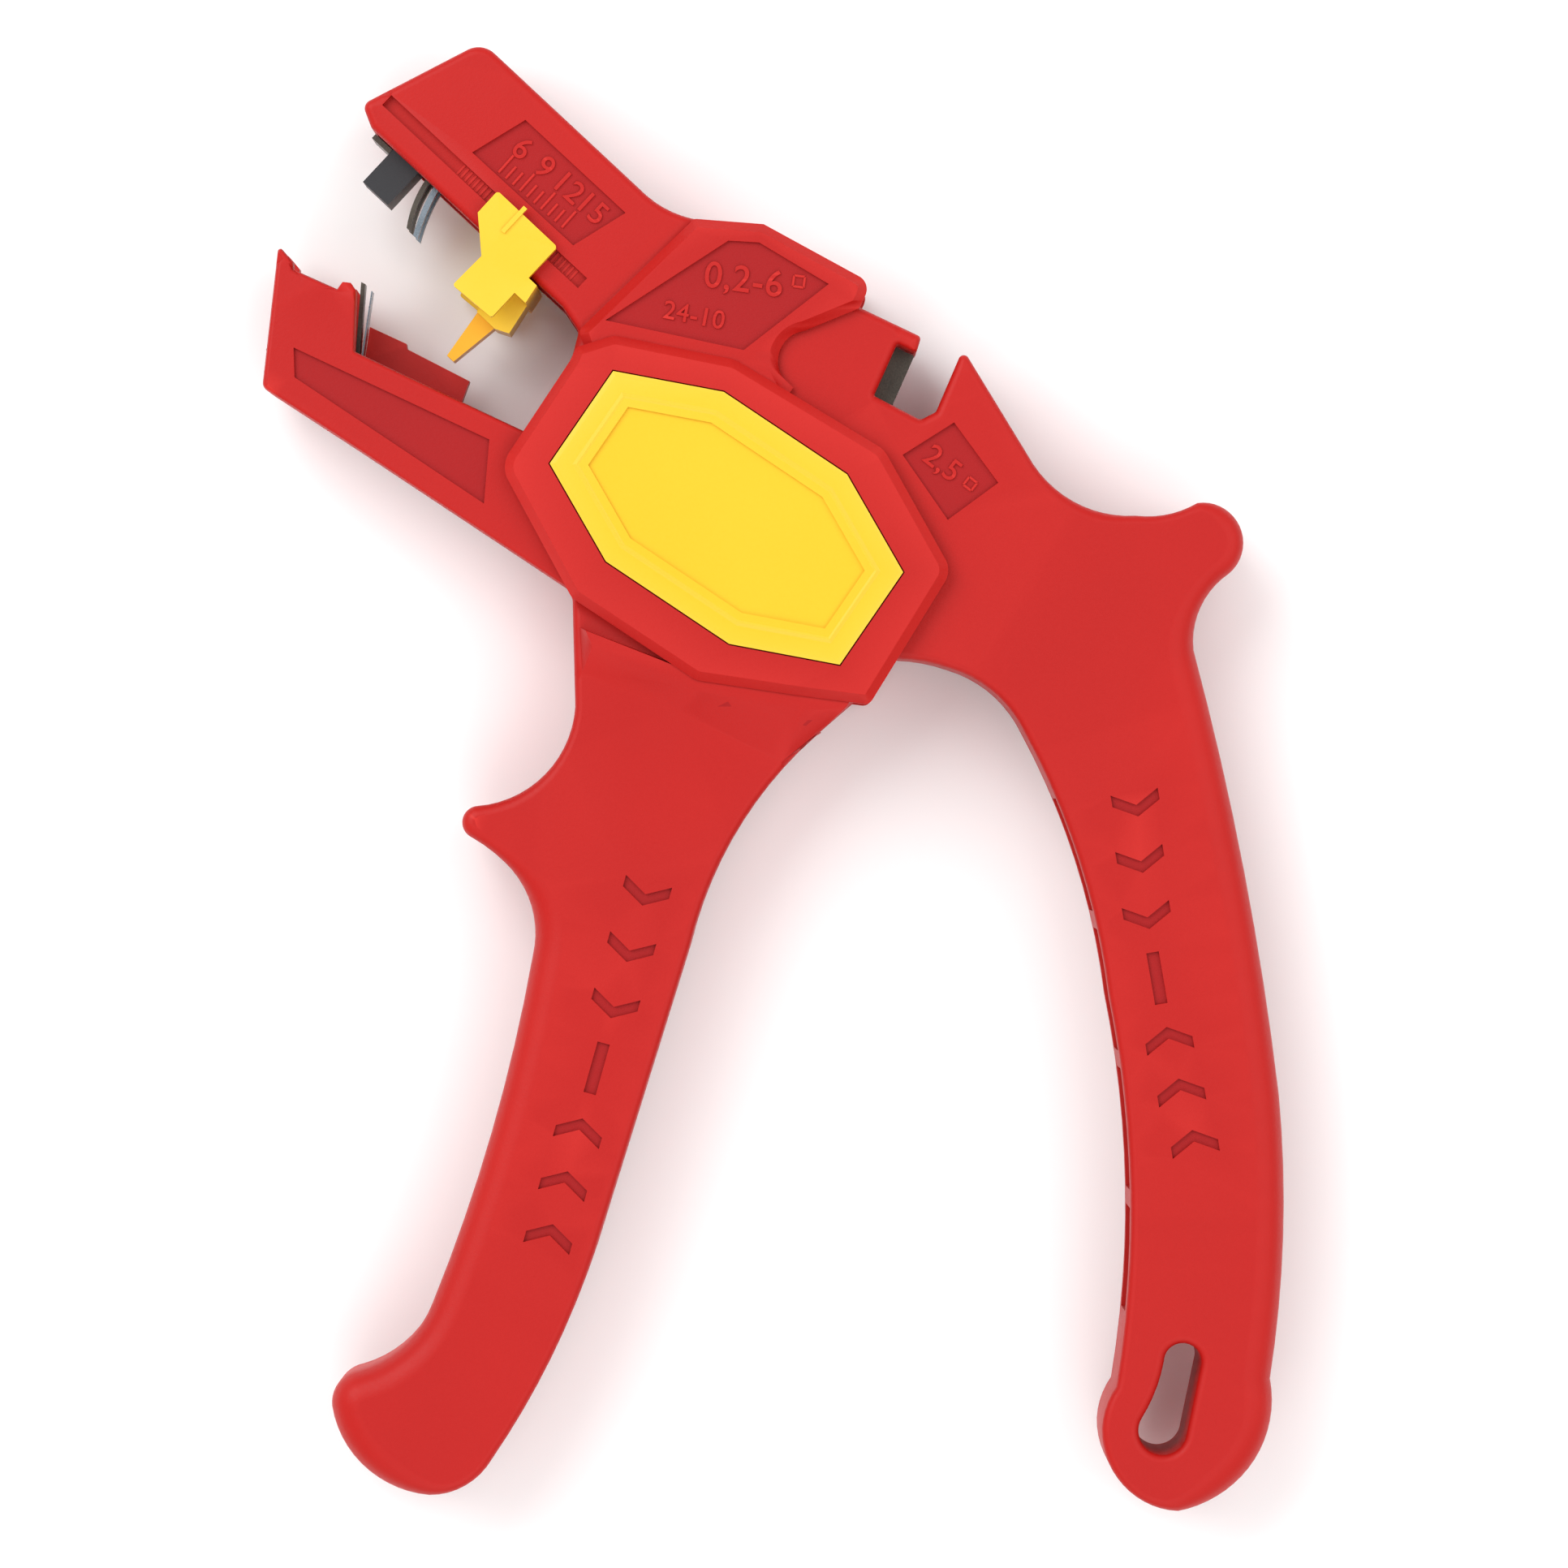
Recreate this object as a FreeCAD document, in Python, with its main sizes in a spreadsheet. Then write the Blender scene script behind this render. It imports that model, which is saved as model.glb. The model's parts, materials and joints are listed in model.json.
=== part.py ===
"""Pistol-style automatic wire stripper, modelled flat with its main pivot axis along Z.

Every piece is drawn about the main pivot (x right, y up, z through the tool) and then moved
together, so that the origin is under the middle of the tool's box.
"""
import FreeCAD
import Part
import Sketcher
import math
import os

doc = FreeCAD.newDocument("wire_stripper")

# Driving dimensions, millimetres and degrees.
DIMENSIONS = [
    ("grip_thick", 15.0, "front grip and upper jaw, through the tool"),
    ("housing_thick", 21.0, "over the raised octagon"),
    ("shoulder_thick", 18.4, "over the raised shoulder with the capacity plate"),
    ("lever_thick", 14.6, "rear handle and lower jaw"),
    ("side_play", 0.3, "gap between a lever and a cheek"),
    ("grip_wall", 2.6, "wall of the hollow grip"),
    ("channel_width", 8.4, "blade channel in both jaws"),
    ("plate_depth", 0.5, "sunken plates, grip marks"),
    ("badge_depth", 1.4, "seat of the badge"),
    ("badge_proud", 0.5, "badge above its seat's rim"),
    ("badge_gap", 0.15, "around the badge in its seat"),
    ("housing_bevel", 1.0, "edge of the octagon"),
    ("pin_radius", 3.0, "main pivot pin"),
    ("pin_head_radius", 5.0, "main pivot pin"),
    ("pin_head_thick", 0.8, "main pivot pin"),
    ("running_gap", 0.05, "radial, shaft in bore"),
    ("bush_wall", 1.2, "bush in the lower jaw's tongue"),
    ("tongue_radius", 5.8, "hub of the lower jaw"),
    ("tongue_thick", 6.2, "hub of the lower jaw"),
    ("hub_radius", 11.0, "ears of the rear handle"),
    ("washer_thick", 0.5, "thrust washers"),
    ("washer_radius", 7.5, "thrust washers"),
    ("drive_radius", 7.2, "pivot to drive pin"),
    ("drive_pin_radius", 1.0, "pin that pulls the blade carriage"),
    ("drive_slot_gap", 0.08, "drive pin in the yoke's slot, each side"),
    ("yoke_wall", 1.8, "each side of the yoke's slot"),
    ("spring_wire", 0.35, "radius of the torsion springs' wire"),
    ("spring_radius", 4.9, "torsion springs, axis to wire"),
    ("spring_turns", 1.6, "torsion springs"),
    ("spring_seat_deep", 2.1, "torsion springs' seats in the ears"),
    ("squeeze_angle", 24.0, "travel of the rear handle"),
    ("closing_angle", 16.2, "travel of the lower jaw"),
    ("jaw_turn", 17.4, "between the two jaws' edges when open"),
    ("jaw_slope", 43.1, "upper jaw, down to the right"),
    ("jaw_under", 4.75, "pivot line to the jaw's underside"),
    ("free_gap", 0.4, "between pieces that pass each other"),
    ("seat_gap", 0.1, "under or around a seated piece"),
    ("screw_radius", 1.25, "housing screws"),
    ("screw_head_radius", 2.5, "housing screws"),
    ("screw_head_deep", 2.0, "housing screws"),
    ("screw_reach", 4.5, "housing screws, past the parting plane"),
    ("boss_radius", 3.2, "screw bosses"),
    ("blade_width", 6.6, "stripping blades, through the tool"),
    ("tongue_leaf_width", 3.2, "lower blades, which pass between the upper tines"),
    ("cutter_thick", 1.6, "side cutter"),
    ("stop_plate_thick", 1.6, "side plates of the length stop"),
    ("stop_rail", 1.1, "rails of the length stop in the jaw's grooves"),
    ("groove_deep", 1.0, "grooves for the length stop"),
    ("spike_thick", 4.0, "spike of the length stop"),
    ("pointer_thick", 0.8, "pointer of the length stop"),
    ("detent_thick", 0.25, "detent spring of the length stop"),
]
sheet = doc.addObject("Spreadsheet::Sheet", "Sizes")
for row, (name, value, note) in enumerate(DIMENSIONS, 1):
    sheet.set("A%d" % row, name)
    sheet.set("B%d" % row, str(value))
    sheet.set("C%d" % row, note)
    sheet.setAlias("B%d" % row, name)
doc.recompute()


def size(name):
    return float(getattr(sheet, name))


SLOPE = math.radians(size("jaw_slope"))
AXIS = FreeCAD.Vector(0, 0, 1)


def jaw(along, above):
    """A place in the upper jaw: along it towards the pivot, and above the pivot line."""
    return (along * math.cos(SLOPE) + above * math.sin(SLOPE),
            -along * math.sin(SLOPE) + above * math.cos(SLOPE))


def turned(point, degrees):
    a = math.radians(degrees)
    x, y = point[0], point[1]
    return (x * math.cos(a) - y * math.sin(a), x * math.sin(a) + y * math.cos(a))


def open_jaw(along, above):
    """A place in the lower jaw, given where it would lie with both jaws' edges parallel."""
    return turned(jaw(along, above), size("jaw_turn"))


# ---------------------------------------------------------------- outlines

def vector(point):
    return FreeCAD.Vector(point[0], point[1], 0)


def outline(points):
    """Edges of a closed outline: (x, y), (x, y, corner radius) or ("via", x, y) inside an arc."""
    corners = [p for p in points if p[0] != "via"]
    count = len(corners)
    middles = {}
    index = -1
    for p in points:
        if p[0] == "via":
            middles[index] = (p[1], p[2])
        else:
            index += 1
    leave, arrive, arcs = {}, {}, {}
    for i, p in enumerate(corners):
        here = vector(p)
        leave[i] = arrive[i] = here
        if len(p) == 3:
            to_last = (vector(corners[i - 1]) - here).normalize()
            to_next = (vector(corners[(i + 1) % count]) - here).normalize()
            half = to_last.getAngle(to_next) / 2
            back = p[2] / math.tan(half)
            arrive[i] = here + to_last * back
            leave[i] = here + to_next * back
            inward = (to_last + to_next).normalize()
            centre = here + inward * (p[2] / math.sin(half))
            arcs[i] = Part.Arc(arrive[i], centre - inward * p[2], leave[i])
    edges = []
    for i in range(count):
        if i in arcs:
            edges.append(arcs[i])
        start, end = leave[i], arrive[(i + 1) % count]
        if i in middles:
            edges.append(Part.Arc(start, vector(middles[i]), end))
        elif start.distanceToPoint(end) > 1e-6:
            edges.append(Part.LineSegment(start, end))
    return edges


# ---------------------------------------------------------------- PartDesign helpers

def new_body(label):
    body = doc.addObject("PartDesign::Body", label)
    body.Label = label
    return body


def plane(body, role):
    return [f for f in body.Origin.OriginFeatures if f.Role == role][0]


def new_sketch(body, name, height=0.0):
    sketch = body.newObject("Sketcher::SketchObject", name)
    sketch.AttachmentSupport = [(plane(body, "XY_Plane"), "")]
    sketch.MapMode = "FlatFace"
    if isinstance(height, str):
        sketch.setExpression(".AttachmentOffset.Base.z", height)
    else:
        sketch.AttachmentOffset = FreeCAD.Placement(FreeCAD.Vector(0, 0, height), FreeCAD.Rotation())
    return sketch


def join_ends(sketch, first):
    """Coincident ends, whichever way the sketcher turned each arc."""
    count = sketch.GeometryCount
    for i in range(first, count):
        for j in range(i + 1, count):
            for a in (1, 2):
                for b in (1, 2):
                    if sketch.getPoint(i, a).distanceToPoint(sketch.getPoint(j, b)) < 1e-5:
                        sketch.addConstraint(Sketcher.Constraint("Coincident", i, a, j, b))


def draw(sketch, points):
    first = sketch.GeometryCount
    for edge in outline(points):
        sketch.addGeometry(edge, False)
    join_ends(sketch, first)


def draw_circle(sketch, centre, radius):
    """A circle whose radius is an expression on the sheet."""
    circle = Part.Circle(vector(centre), AXIS, 1.0)
    index = sketch.addGeometry(circle, False)
    sketch.addConstraint(Sketcher.Constraint("Radius", index, 1.0))
    sketch.setExpression("Constraints[%d]" % (sketch.ConstraintCount - 1), radius)


def extrude(body, kind, name, shapes, length, up=True, height=0.0, both=False):
    """Pad or pocket of outlines (lists) and circles ((centre, radius expression))."""
    sketch = new_sketch(body, name + "_sketch", height)
    for shape in shapes:
        if isinstance(shape, tuple):
            draw_circle(sketch, shape[0], shape[1])
        else:
            draw(sketch, shape)
    feature = body.newObject("PartDesign::" + kind, name)
    feature.Profile = sketch
    feature.setExpression("Length", length)
    if both:
        feature.Midplane = True
    elif kind == "Pad":
        feature.Reversed = not up
    else:
        feature.Reversed = up
    sketch.Visibility = False
    before = body.Shape.Volume if kind == "Pocket" else 0
    doc.recompute()
    if kind == "Pocket" and not body.Shape.Volume < before - 1e-6:
        raise RuntimeError(name + " cuts nothing")
    return feature


def edges_at(shape, height, wanted):
    """Names of the edges that lie flat at a height and whose middle passes a test."""
    found = []
    for i, edge in enumerate(shape.Edges, 1):
        box = edge.BoundBox
        if abs(box.ZMin - height) < 1e-4 and abs(box.ZMax - height) < 1e-4:
            middle = edge.valueAt((edge.FirstParameter + edge.LastParameter) / 2)
            if wanted(middle.x, middle.y):
                found.append("Edge%d" % i)
    return found


def bevel(body, name, height, wanted, width):
    base = body.Tip
    feature = body.newObject("PartDesign::Chamfer", name)
    feature.Base = (base, edges_at(base.Shape, height, wanted))
    feature.setExpression("Size", width)
    doc.recompute()
    return feature


# ---------------------------------------------------------------- plan outlines

HOUSING_LEFT = [(-17.1, -8.8, 1.5), (-25.0, 5.8, 3.0), (-17.3, 17.4, 2.0), (-16.4, 20.8, 1.0)]
HOUSING_RIGHT = [(17.4, 7.6, 3.0), (24.9, -5.8, 2.5), (15.8, -20.6, 1.0)]
FRONT_BODY = HOUSING_LEFT + [
    jaw(-29.4, size("jaw_under")) + (0.6,), jaw(-58.4, size("jaw_under")) + (0.8,),
    (-40.4, 46.0, 1.0), (-27.1, 52.9, 2.6),
    (-8.9, 35.9), ("via", -5.9, 34.0), (-2.5, 33.1),
    (4.1, 32.6), (16.0, 26.1, 1.6), (14.7, 23.3, 0.4), (8.6, 20.8), ("via", 5.7, 17.1), (7.4, 14.5),
] + HOUSING_RIGHT + [
    (9.9, -24.0), ("via", 2.0, -33.2), (-4.1, -47.4), (-14.6, -81.1),
    ("via", -19.6, -93.3), (-26.0, -104.2), ("via", -29.0, -107.2), (-33.0, -108.3),
    ("via", -39.9, -105.6), (-43.9, -98.5), ("via", -43.3, -96.1), (-40.9, -94.5),
    ("via", -36.0, -91.8), (-32.7, -87.0), ("via", -26.6, -69.6), (-21.6, -48.5),
    ("via", -21.7, -43.0), (-24.6, -38.1), ("via", -26.2, -36.7), (-28.3, -35.3),
    ("via", -29.3, -33.2), (-27.6, -31.8), ("via", -20.9, -29.0), (-16.8, -20.8),
]
OCTAGON = HOUSING_LEFT[:3] + [(-16.6, 18.9, 0.8), (-12.4, 20.2, 2.0), (1.0, 17.5, 4.0)] + HOUSING_RIGHT + [
    (8.0, -19.6, 2.0), (-3.4, -17.9, 2.0),
]
SHOULDER = [
    (-14.0, 14.0), (-16.4, 20.8, 1.0), (-3.6, 33.2, 0.8), (4.1, 32.6), (16.0, 26.1, 1.6),
    (14.7, 23.3, 0.4), (8.6, 20.8), ("via", 5.7, 17.1), (7.4, 14.5), (4.0, 10.0),
]
REAR_HANDLE = [
    (6.4, 7.0), (13.0, 24.3, 0.6), (21.6, 20.2, 0.5), (21.0, 18.5, 0.3), (18.9, 19.5, 0.3),
    (16.3, 13.7, 0.3), (21.5, 11.0, 0.8), (23.2, 11.9, 0.3), (26.2, 18.9, 0.6),
    (33.4, 7.1), ("via", 38.8, 1.8), (45.4, 0.4), ("via", 49.2, 0.6), (52.2, 1.8),
    ("via", 56.9, -0.6), (55.8, -6.0), ("via", 52.8, -9.4), (51.9, -14.5),
    ("via", 58.2, -42.6), (61.4, -64.0), ("via", 61.9, -79.0), (60.4, -95.5),
    ("via", 57.4, -106.2), (50.1, -110.1), ("via", 44.2, -107.4), (41.6, -100.8),
    ("via", 42.0, -98.6), (43.2, -96.2),
    ("via", 44.8, -77.2), (42.4, -52.9), ("via", 39.2, -38.2), (33.0, -23.6),
    ("via", 29.6, -19.2), (24.8, -16.6), ("via", 21.8, -15.8), (19.0, -15.5), (6.0, -9.0),
]
LOWER_JAW = [
    (-51.5, 14.6, 1.0), (-49.7, 30.4, 0.3), (-48.1, 28.5), (-48.1, 27.7), (-43.2, 25.5),
    (-42.6, 26.3), (-41.7, 26.2), (-41.1, 25.3), (-41.3, 18.6, 0.3), (-22.6, 9.8), (-9.0, 3.3),
    (-6.0, -4.0), (-9.5, -13.1), (-17.5, -7.8), (-41.2, 7.9),
]
BADGE = [(-12.5, 16.2), (-0.3, 13.9), (13.3, 4.8), (19.5, -6.0), (12.5, -16.2), (0.3, -13.9), (-13.3, -4.8),
         (-19.5, 6.0)]
SCALE_PLATE = [(-22.3, 44.2), (-11.2, 33.9), (-17.0, 30.3), (-28.2, 40.6)]
CAPACITY_PLATE = [(0.2, 30.7), (3.6, 30.5), (11.3, 25.9), (1.9, 18.6), (-13.4, 21.9)]
CUTTER_PLATE = [(25.2, 10.7), (30.1, 4.0), (24.5, -0.1), (19.5, 7.1)]
JAW_PLATE = [(-48.0, 19.0), (-26.3, 8.8), (-26.9, 1.7), (-47.9, 15.7)]
SCREW_PLACES = [jaw(-45.0, 16.3), (-1.5, 27.5), (-11.0, -20.8), (-15.8, -58.0), (-33.2, -99.3)]


def inset(points, distance):
    """A polygon moved inwards, for panels inside panels."""
    face = Part.Face(Part.makePolygon([vector(p) for p in points + points[:1]]))
    wire = face.makeOffset2D(-distance, join=2).OuterWire
    return [(v.X, v.Y) for v in wire.OrderedVertexes]


def grip_marks(start, end, bend):
    """Three V marks, a bar and three inverted V marks down a grip, sideways by a bend in the middle."""
    marks = []
    steps = [0.0, 0.165, 0.33, 0.51, 0.69, 0.845, 1.0]
    run = vector(end) - vector(start)
    down = FreeCAD.Vector(run).normalize()
    across = FreeCAD.Vector(-down.y, down.x, 0)
    arm, stroke, fall, bar, half_bar = 2.65, 1.3, 1.5, 2.9, 0.7
    for i, step in enumerate(steps):
        middle = vector(start) + run * step + across * (bend * 4 * step * (1 - step))

        def at(sideways, along):
            p = middle + across * sideways + down * along
            return (p.x, p.y)

        if i == 3:
            marks.append([at(-half_bar, -bar), at(half_bar, -bar), at(half_bar, bar), at(-half_bar, bar)])
            continue
        s = 1 if i < 3 else -1
        marks.append([at(-arm, -s * fall), at(0, 0), at(arm, -s * fall),
                      at(arm, s * (stroke - fall)), at(0, s * stroke), at(-arm, s * (stroke - fall))])
    return marks


# ---------------------------------------------------------------- shared inner spaces

OUTWARDS = "Sizes.housing_thick"
HALF_GRIP = "Sizes.grip_thick / 2"
HALF_HOUSING = "Sizes.housing_thick / 2"
HALF_SHOULDER = "Sizes.shoulder_thick / 2"
HALF_LEVER = "Sizes.lever_thick / 2"
HALF_CHANNEL = "Sizes.channel_width / 2"
SPRING_PITCH = "(2 * Sizes.spring_wire + 0.02)"
SPRING_TALL = "(" + SPRING_PITCH + " * Sizes.spring_turns)"
HALF_SLOT = "Sizes.lever_thick / 2 + Sizes.side_play"
HALF_TONGUE = "Sizes.tongue_thick / 2"
BADGE_SEAT = "Sizes.housing_thick / 2 - Sizes.badge_depth"

JAW_SWEEP = [(-32.0, 1.3), (-9.2, -13.9), (0.0, -10.0), (0.0, 0.0), jaw(-11.0, 0.0), jaw(-36.0, 0.0)]
HANDLE_SWEEP = [(0.0, 0.0), (5.4, 7.2), (12.1, 25.2), (22.0, 32.0), (60.0, 10.0), (40.0, -40.0),
                (15.3, -27.2), (10.1, -23.4), (1.5, -10.0)]
CHEEK = [(2.0, 9.8), (8.0, 26.7), (14.5, 23.4), (8.0, 8.0)]
CHEEK_SPACE = [(1.4, 9.3), (7.5, 27.7), (13.6, 25.6), (6.0, 7.0)]
CHANNEL = [jaw(-56.0, -2.0), jaw(-56.0, 13.3), jaw(5.0, 13.3), jaw(8.0, 6.0), jaw(8.0, -2.0)]
GROOVE = [jaw(-59.2, 7.4), jaw(-59.2, 8.9), jaw(-29.5, 8.9), jaw(-29.5, 7.4)]
GRIP_HOLLOW = [
    (-14.6, -27.0, 1.0), (3.6, -27.6, 0.8), ("via", -0.9, -34.9), (-6.6, -48.2), (-17.1, -81.9),
    ("via", -21.4, -92.2), (-27.4, -101.2), ("via", -30.2, -103.8), (-33.6, -105.3), ("via", -38.4, -102.6),
    (-40.8, -97.6), ("via", -34.2, -94.0), (-30.3, -88.0), ("via", -24.1, -70.0), (-19.0, -48.6),
    ("via", -18.6, -43.0), (-20.2, -37.5, 1.0), (-18.0, -30.0, 1.0),
]
SICKLE = [(15.9, 5.8), ("via", 9.9, 13.7), (0.6, 16.9), (0.7, 20.6), ("via", 10.9, 17.5), (18.2, 9.7),
          (23.6, 11.0), (26.3, 17.1), (30.0, 11.2), (26.0, 4.5)]
SICKLE_SWEEP = [(15.2, 5.2), (26.3, 3.9), (30.6, 11.3), (26.6, 18.0), (27.5, 24.0), (18.0, 36.0),
                (5.0, 32.0), (3.0, 15.8), ("via", 11.6, 11.6)]
ANVIL = [(20.9, 18.4), (18.4, 12.8), (13.4, 15.1), (15.9, 20.7)]


# ---------------------------------------------------------------- main body shells

def housing_shell(label, front):
    """One half of the body: upper jaw, housing and front grip, from the parting plane outwards."""
    body = new_body(label)
    sign = "" if front else "-"

    def at(expression):
        return sign + "(" + expression + ")"

    extrude(body, "Pad", "grip_" + label, [FRONT_BODY], HALF_GRIP, up=front)
    raised(body, "shoulder_" + label, SHOULDER, HALF_SHOULDER, front)
    raised(body, "octagon_" + label, OCTAGON, HALF_HOUSING, front)
    ramp_loft(body, label, front)

    hub_space = ((0, 0), "Sizes.hub_radius + Sizes.free_gap")
    extrude(body, "Pocket", "hub_space_" + label, [hub_space], HALF_SLOT, up=front)
    extrude(body, "Pocket", "jaw_space_" + label, [JAW_SWEEP], HALF_SLOT, up=front)
    extrude(body, "Pocket", "handle_space_" + label, [HANDLE_SWEEP], HALF_SLOT, up=front)
    extrude(body, "Pocket", "cheek_space_" + label, [CHEEK_SPACE], "(" + HALF_SLOT + ") - (" + HALF_TONGUE + ")",
            up=front, height=at(HALF_TONGUE))
    extrude(body, "Pocket", "channel_" + label, [CHANNEL], HALF_CHANNEL, up=front)
    bosses = [(place, "Sizes.boss_radius") for place in SCREW_PLACES[3:]]
    extrude(body, "Pocket", "grip_hollow_" + label, [GRIP_HOLLOW] + bosses,
            HALF_GRIP + " - Sizes.grip_wall", up=front)
    extrude(body, "Pocket", "groove_" + label, [GROOVE], OUTWARDS, up=front,
            height=at(HALF_GRIP + " - Sizes.groove_deep"))
    extrude(body, "Pocket", "badge_seat_" + label, [inset(BADGE, -size("badge_gap"))], OUTWARDS, up=front,
            height=at(BADGE_SEAT))
    pin_bore = ((0, 0), "Sizes.pin_radius + Sizes.running_gap")
    extrude(body, "Pocket", "pin_bore_" + label, [pin_bore], HALF_HOUSING, up=front)
    pin_seat = ((0, 0), "Sizes.pin_head_radius + Sizes.free_gap / 2")
    extrude(body, "Pocket", "pin_seat_" + label, [pin_seat], OUTWARDS, up=front,
            height=at(BADGE_SEAT + " - Sizes.pin_head_thick"))
    marks = grip_marks((-9.0, -41.6), (-19.6, -79.4), 0.0)
    extrude(body, "Pocket", "marks_" + label, marks, OUTWARDS, up=front,
            height=at(HALF_GRIP + " - Sizes.plate_depth"))
    if front:
        extrude(body, "Pocket", "scale_plate", [SCALE_PLATE], OUTWARDS,
                height=HALF_GRIP + " - Sizes.plate_depth")
        extrude(body, "Pocket", "capacity_plate", [CAPACITY_PLATE], OUTWARDS,
                height=HALF_SHOULDER + " - Sizes.plate_depth")
        threads = [(place, "Sizes.screw_radius") for place in SCREW_PLACES]
        extrude(body, "Pocket", "screw_threads", threads, "Sizes.screw_reach + Sizes.seat_gap")
    else:
        holes = [(place, "Sizes.screw_radius + Sizes.running_gap * 3") for place in SCREW_PLACES]
        extrude(body, "Pocket", "screw_holes", holes, HALF_HOUSING, up=False)
        heads = [(place, "Sizes.screw_head_radius + Sizes.running_gap * 3") for place in SCREW_PLACES]
        extrude(body, "Pocket", "screw_seats", heads, OUTWARDS, up=False,
                height="-(" + HALF_GRIP + " - Sizes.screw_head_deep)")
        extrude(body, "Pocket", "cutter_seat", [SICKLE], "Sizes.cutter_thick + Sizes.seat_gap", up=False)
    return body


def raised(body, name, points, half, front):
    """A raised platform with a bevelled rim, up to half the thickness given."""
    sign = "" if front else "-"
    extrude(body, "Pad", name, [points], half + " - Sizes.housing_bevel", up=front)
    rim = extrude(body, "Pad", name + "_rim", [points], "Sizes.housing_bevel", up=front,
                  height=sign + "(" + half + " - Sizes.housing_bevel)")
    rim.TaperAngle = -45
    doc.recompute()


def ramp_loft(body, label, front):
    """The slope from the octagon down to the grip."""
    side = 1 if front else -1
    low = new_sketch(body, "ramp_low_" + label, side * (size("grip_thick") / 2 - 0.3))
    draw(low, [(-16.4, -12.0), (-3.4, -17.0), (8.0, -18.6), (14.4, -20.2), (9.7, -24.2), (5.6, -28.0),
               (-6.0, -21.6), (-16.2, -17.4)])
    high = new_sketch(body, "ramp_high_" + label, side * (size("housing_thick") / 2 - 1.3))
    draw(high, [(-15.6, -12.4), (-3.4, -17.2), (8.0, -18.8), (13.8, -20.0), (13.2, -20.9), (8.4, -21.2),
                (-3.4, -18.9), (-14.8, -14.2)])
    loft = body.newObject("PartDesign::AdditiveLoft", "ramp_" + label)
    loft.Profile = low
    loft.Sections = [high]
    loft.Ruled = True
    doc.recompute()


# ---------------------------------------------------------------- levers

def rear_handle():
    body = new_body("rear_handle")
    extrude(body, "Pad", "handle_plan", [REAR_HANDLE], "Sizes.lever_thick", both=True)
    extrude(body, "Pad", "hub", [((0, 0), "Sizes.hub_radius")], "Sizes.lever_thick", both=True)
    for side, sign in ((True, ""), (False, "-")):
        extrude(body, "Pad", "cheek_" + ("front" if side else "back"), [CHEEK],
                "(" + HALF_LEVER + ") - (" + HALF_TONGUE + " + Sizes.side_play)", up=side,
                height=sign + "(" + HALF_TONGUE + " + Sizes.side_play)")
    extrude(body, "Pocket", "tongue_space", [((0, 0), "Sizes.hub_radius + 2")],
            "Sizes.tongue_thick + 2 * Sizes.side_play", both=True)
    extrude(body, "Pocket", "pin_bore", [((0, 0), "Sizes.pin_radius + Sizes.running_gap")], "Sizes.lever_thick",
            both=True)
    drive_bore = (DRIVE_PLACE, "Sizes.drive_pin_radius")
    extrude(body, "Pocket", "drive_bore", [drive_bore], "Sizes.lever_thick", both=True)
    for side, sign in ((True, ""), (False, "-")):
        tag = "front" if side else "back"
        seat = sign + "(" + HALF_SLOT + " - Sizes.washer_thick - Sizes.seat_gap)"
        extrude(body, "Pocket", "washer_seat_" + tag, [((0, 0), "Sizes.washer_radius + 2 * Sizes.seat_gap")],
                OUTWARDS, up=side, height=seat)
        spring_seat = ((0, 0), "Sizes.drive_radius - Sizes.drive_pin_radius - Sizes.side_play")
        extrude(body, "Pocket", "spring_seat_" + tag, [spring_seat], "Sizes.spring_seat_deep", up=side,
                height=sign + "(" + HALF_TONGUE + " + Sizes.side_play)")
        marks = grip_marks((45.4, -31.7), (51.8, -69.0), -1.0)
        extrude(body, "Pocket", "handle_marks_" + tag, marks, OUTWARDS, up=side,
                height=sign + "(" + HALF_LEVER + " - Sizes.plate_depth)")
    extrude(body, "Pocket", "cutter_plate", [CUTTER_PLATE], OUTWARDS, height=HALF_LEVER + " - Sizes.plate_depth")
    extrude(body, "Pocket", "sickle_space", [SICKLE_SWEEP], "Sizes.cutter_thick + Sizes.side_play", up=False)
    extrude(body, "Pocket", "anvil_seat", [ANVIL], "Sizes.cutter_thick", height="Sizes.seat_gap")
    extrude(body, "Pocket", "hang_slot", [HANG_SLOT], "Sizes.lever_thick", both=True)
    for i, (top, bottom) in enumerate(((-31.0, -43.5), (-45.5, -59.0), (-61.0, -74.5), (-76.5, -88.0))):
        inner = [(30.0, top), (back_of_palm(top), top, 1.5), (back_of_palm(bottom), bottom, 1.5), (30.0, bottom)]
        extrude(body, "Pocket", "core_%d" % (i + 1), [inner], "Sizes.lever_thick - 2 * Sizes.grip_wall", both=True)
    return body


def back_of_palm(y):
    """Depth of the cores in the rear handle, a wall inside its outer curve."""
    return 61.8 - 0.0029 * (y + 77.0) ** 2 - 4.6


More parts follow.
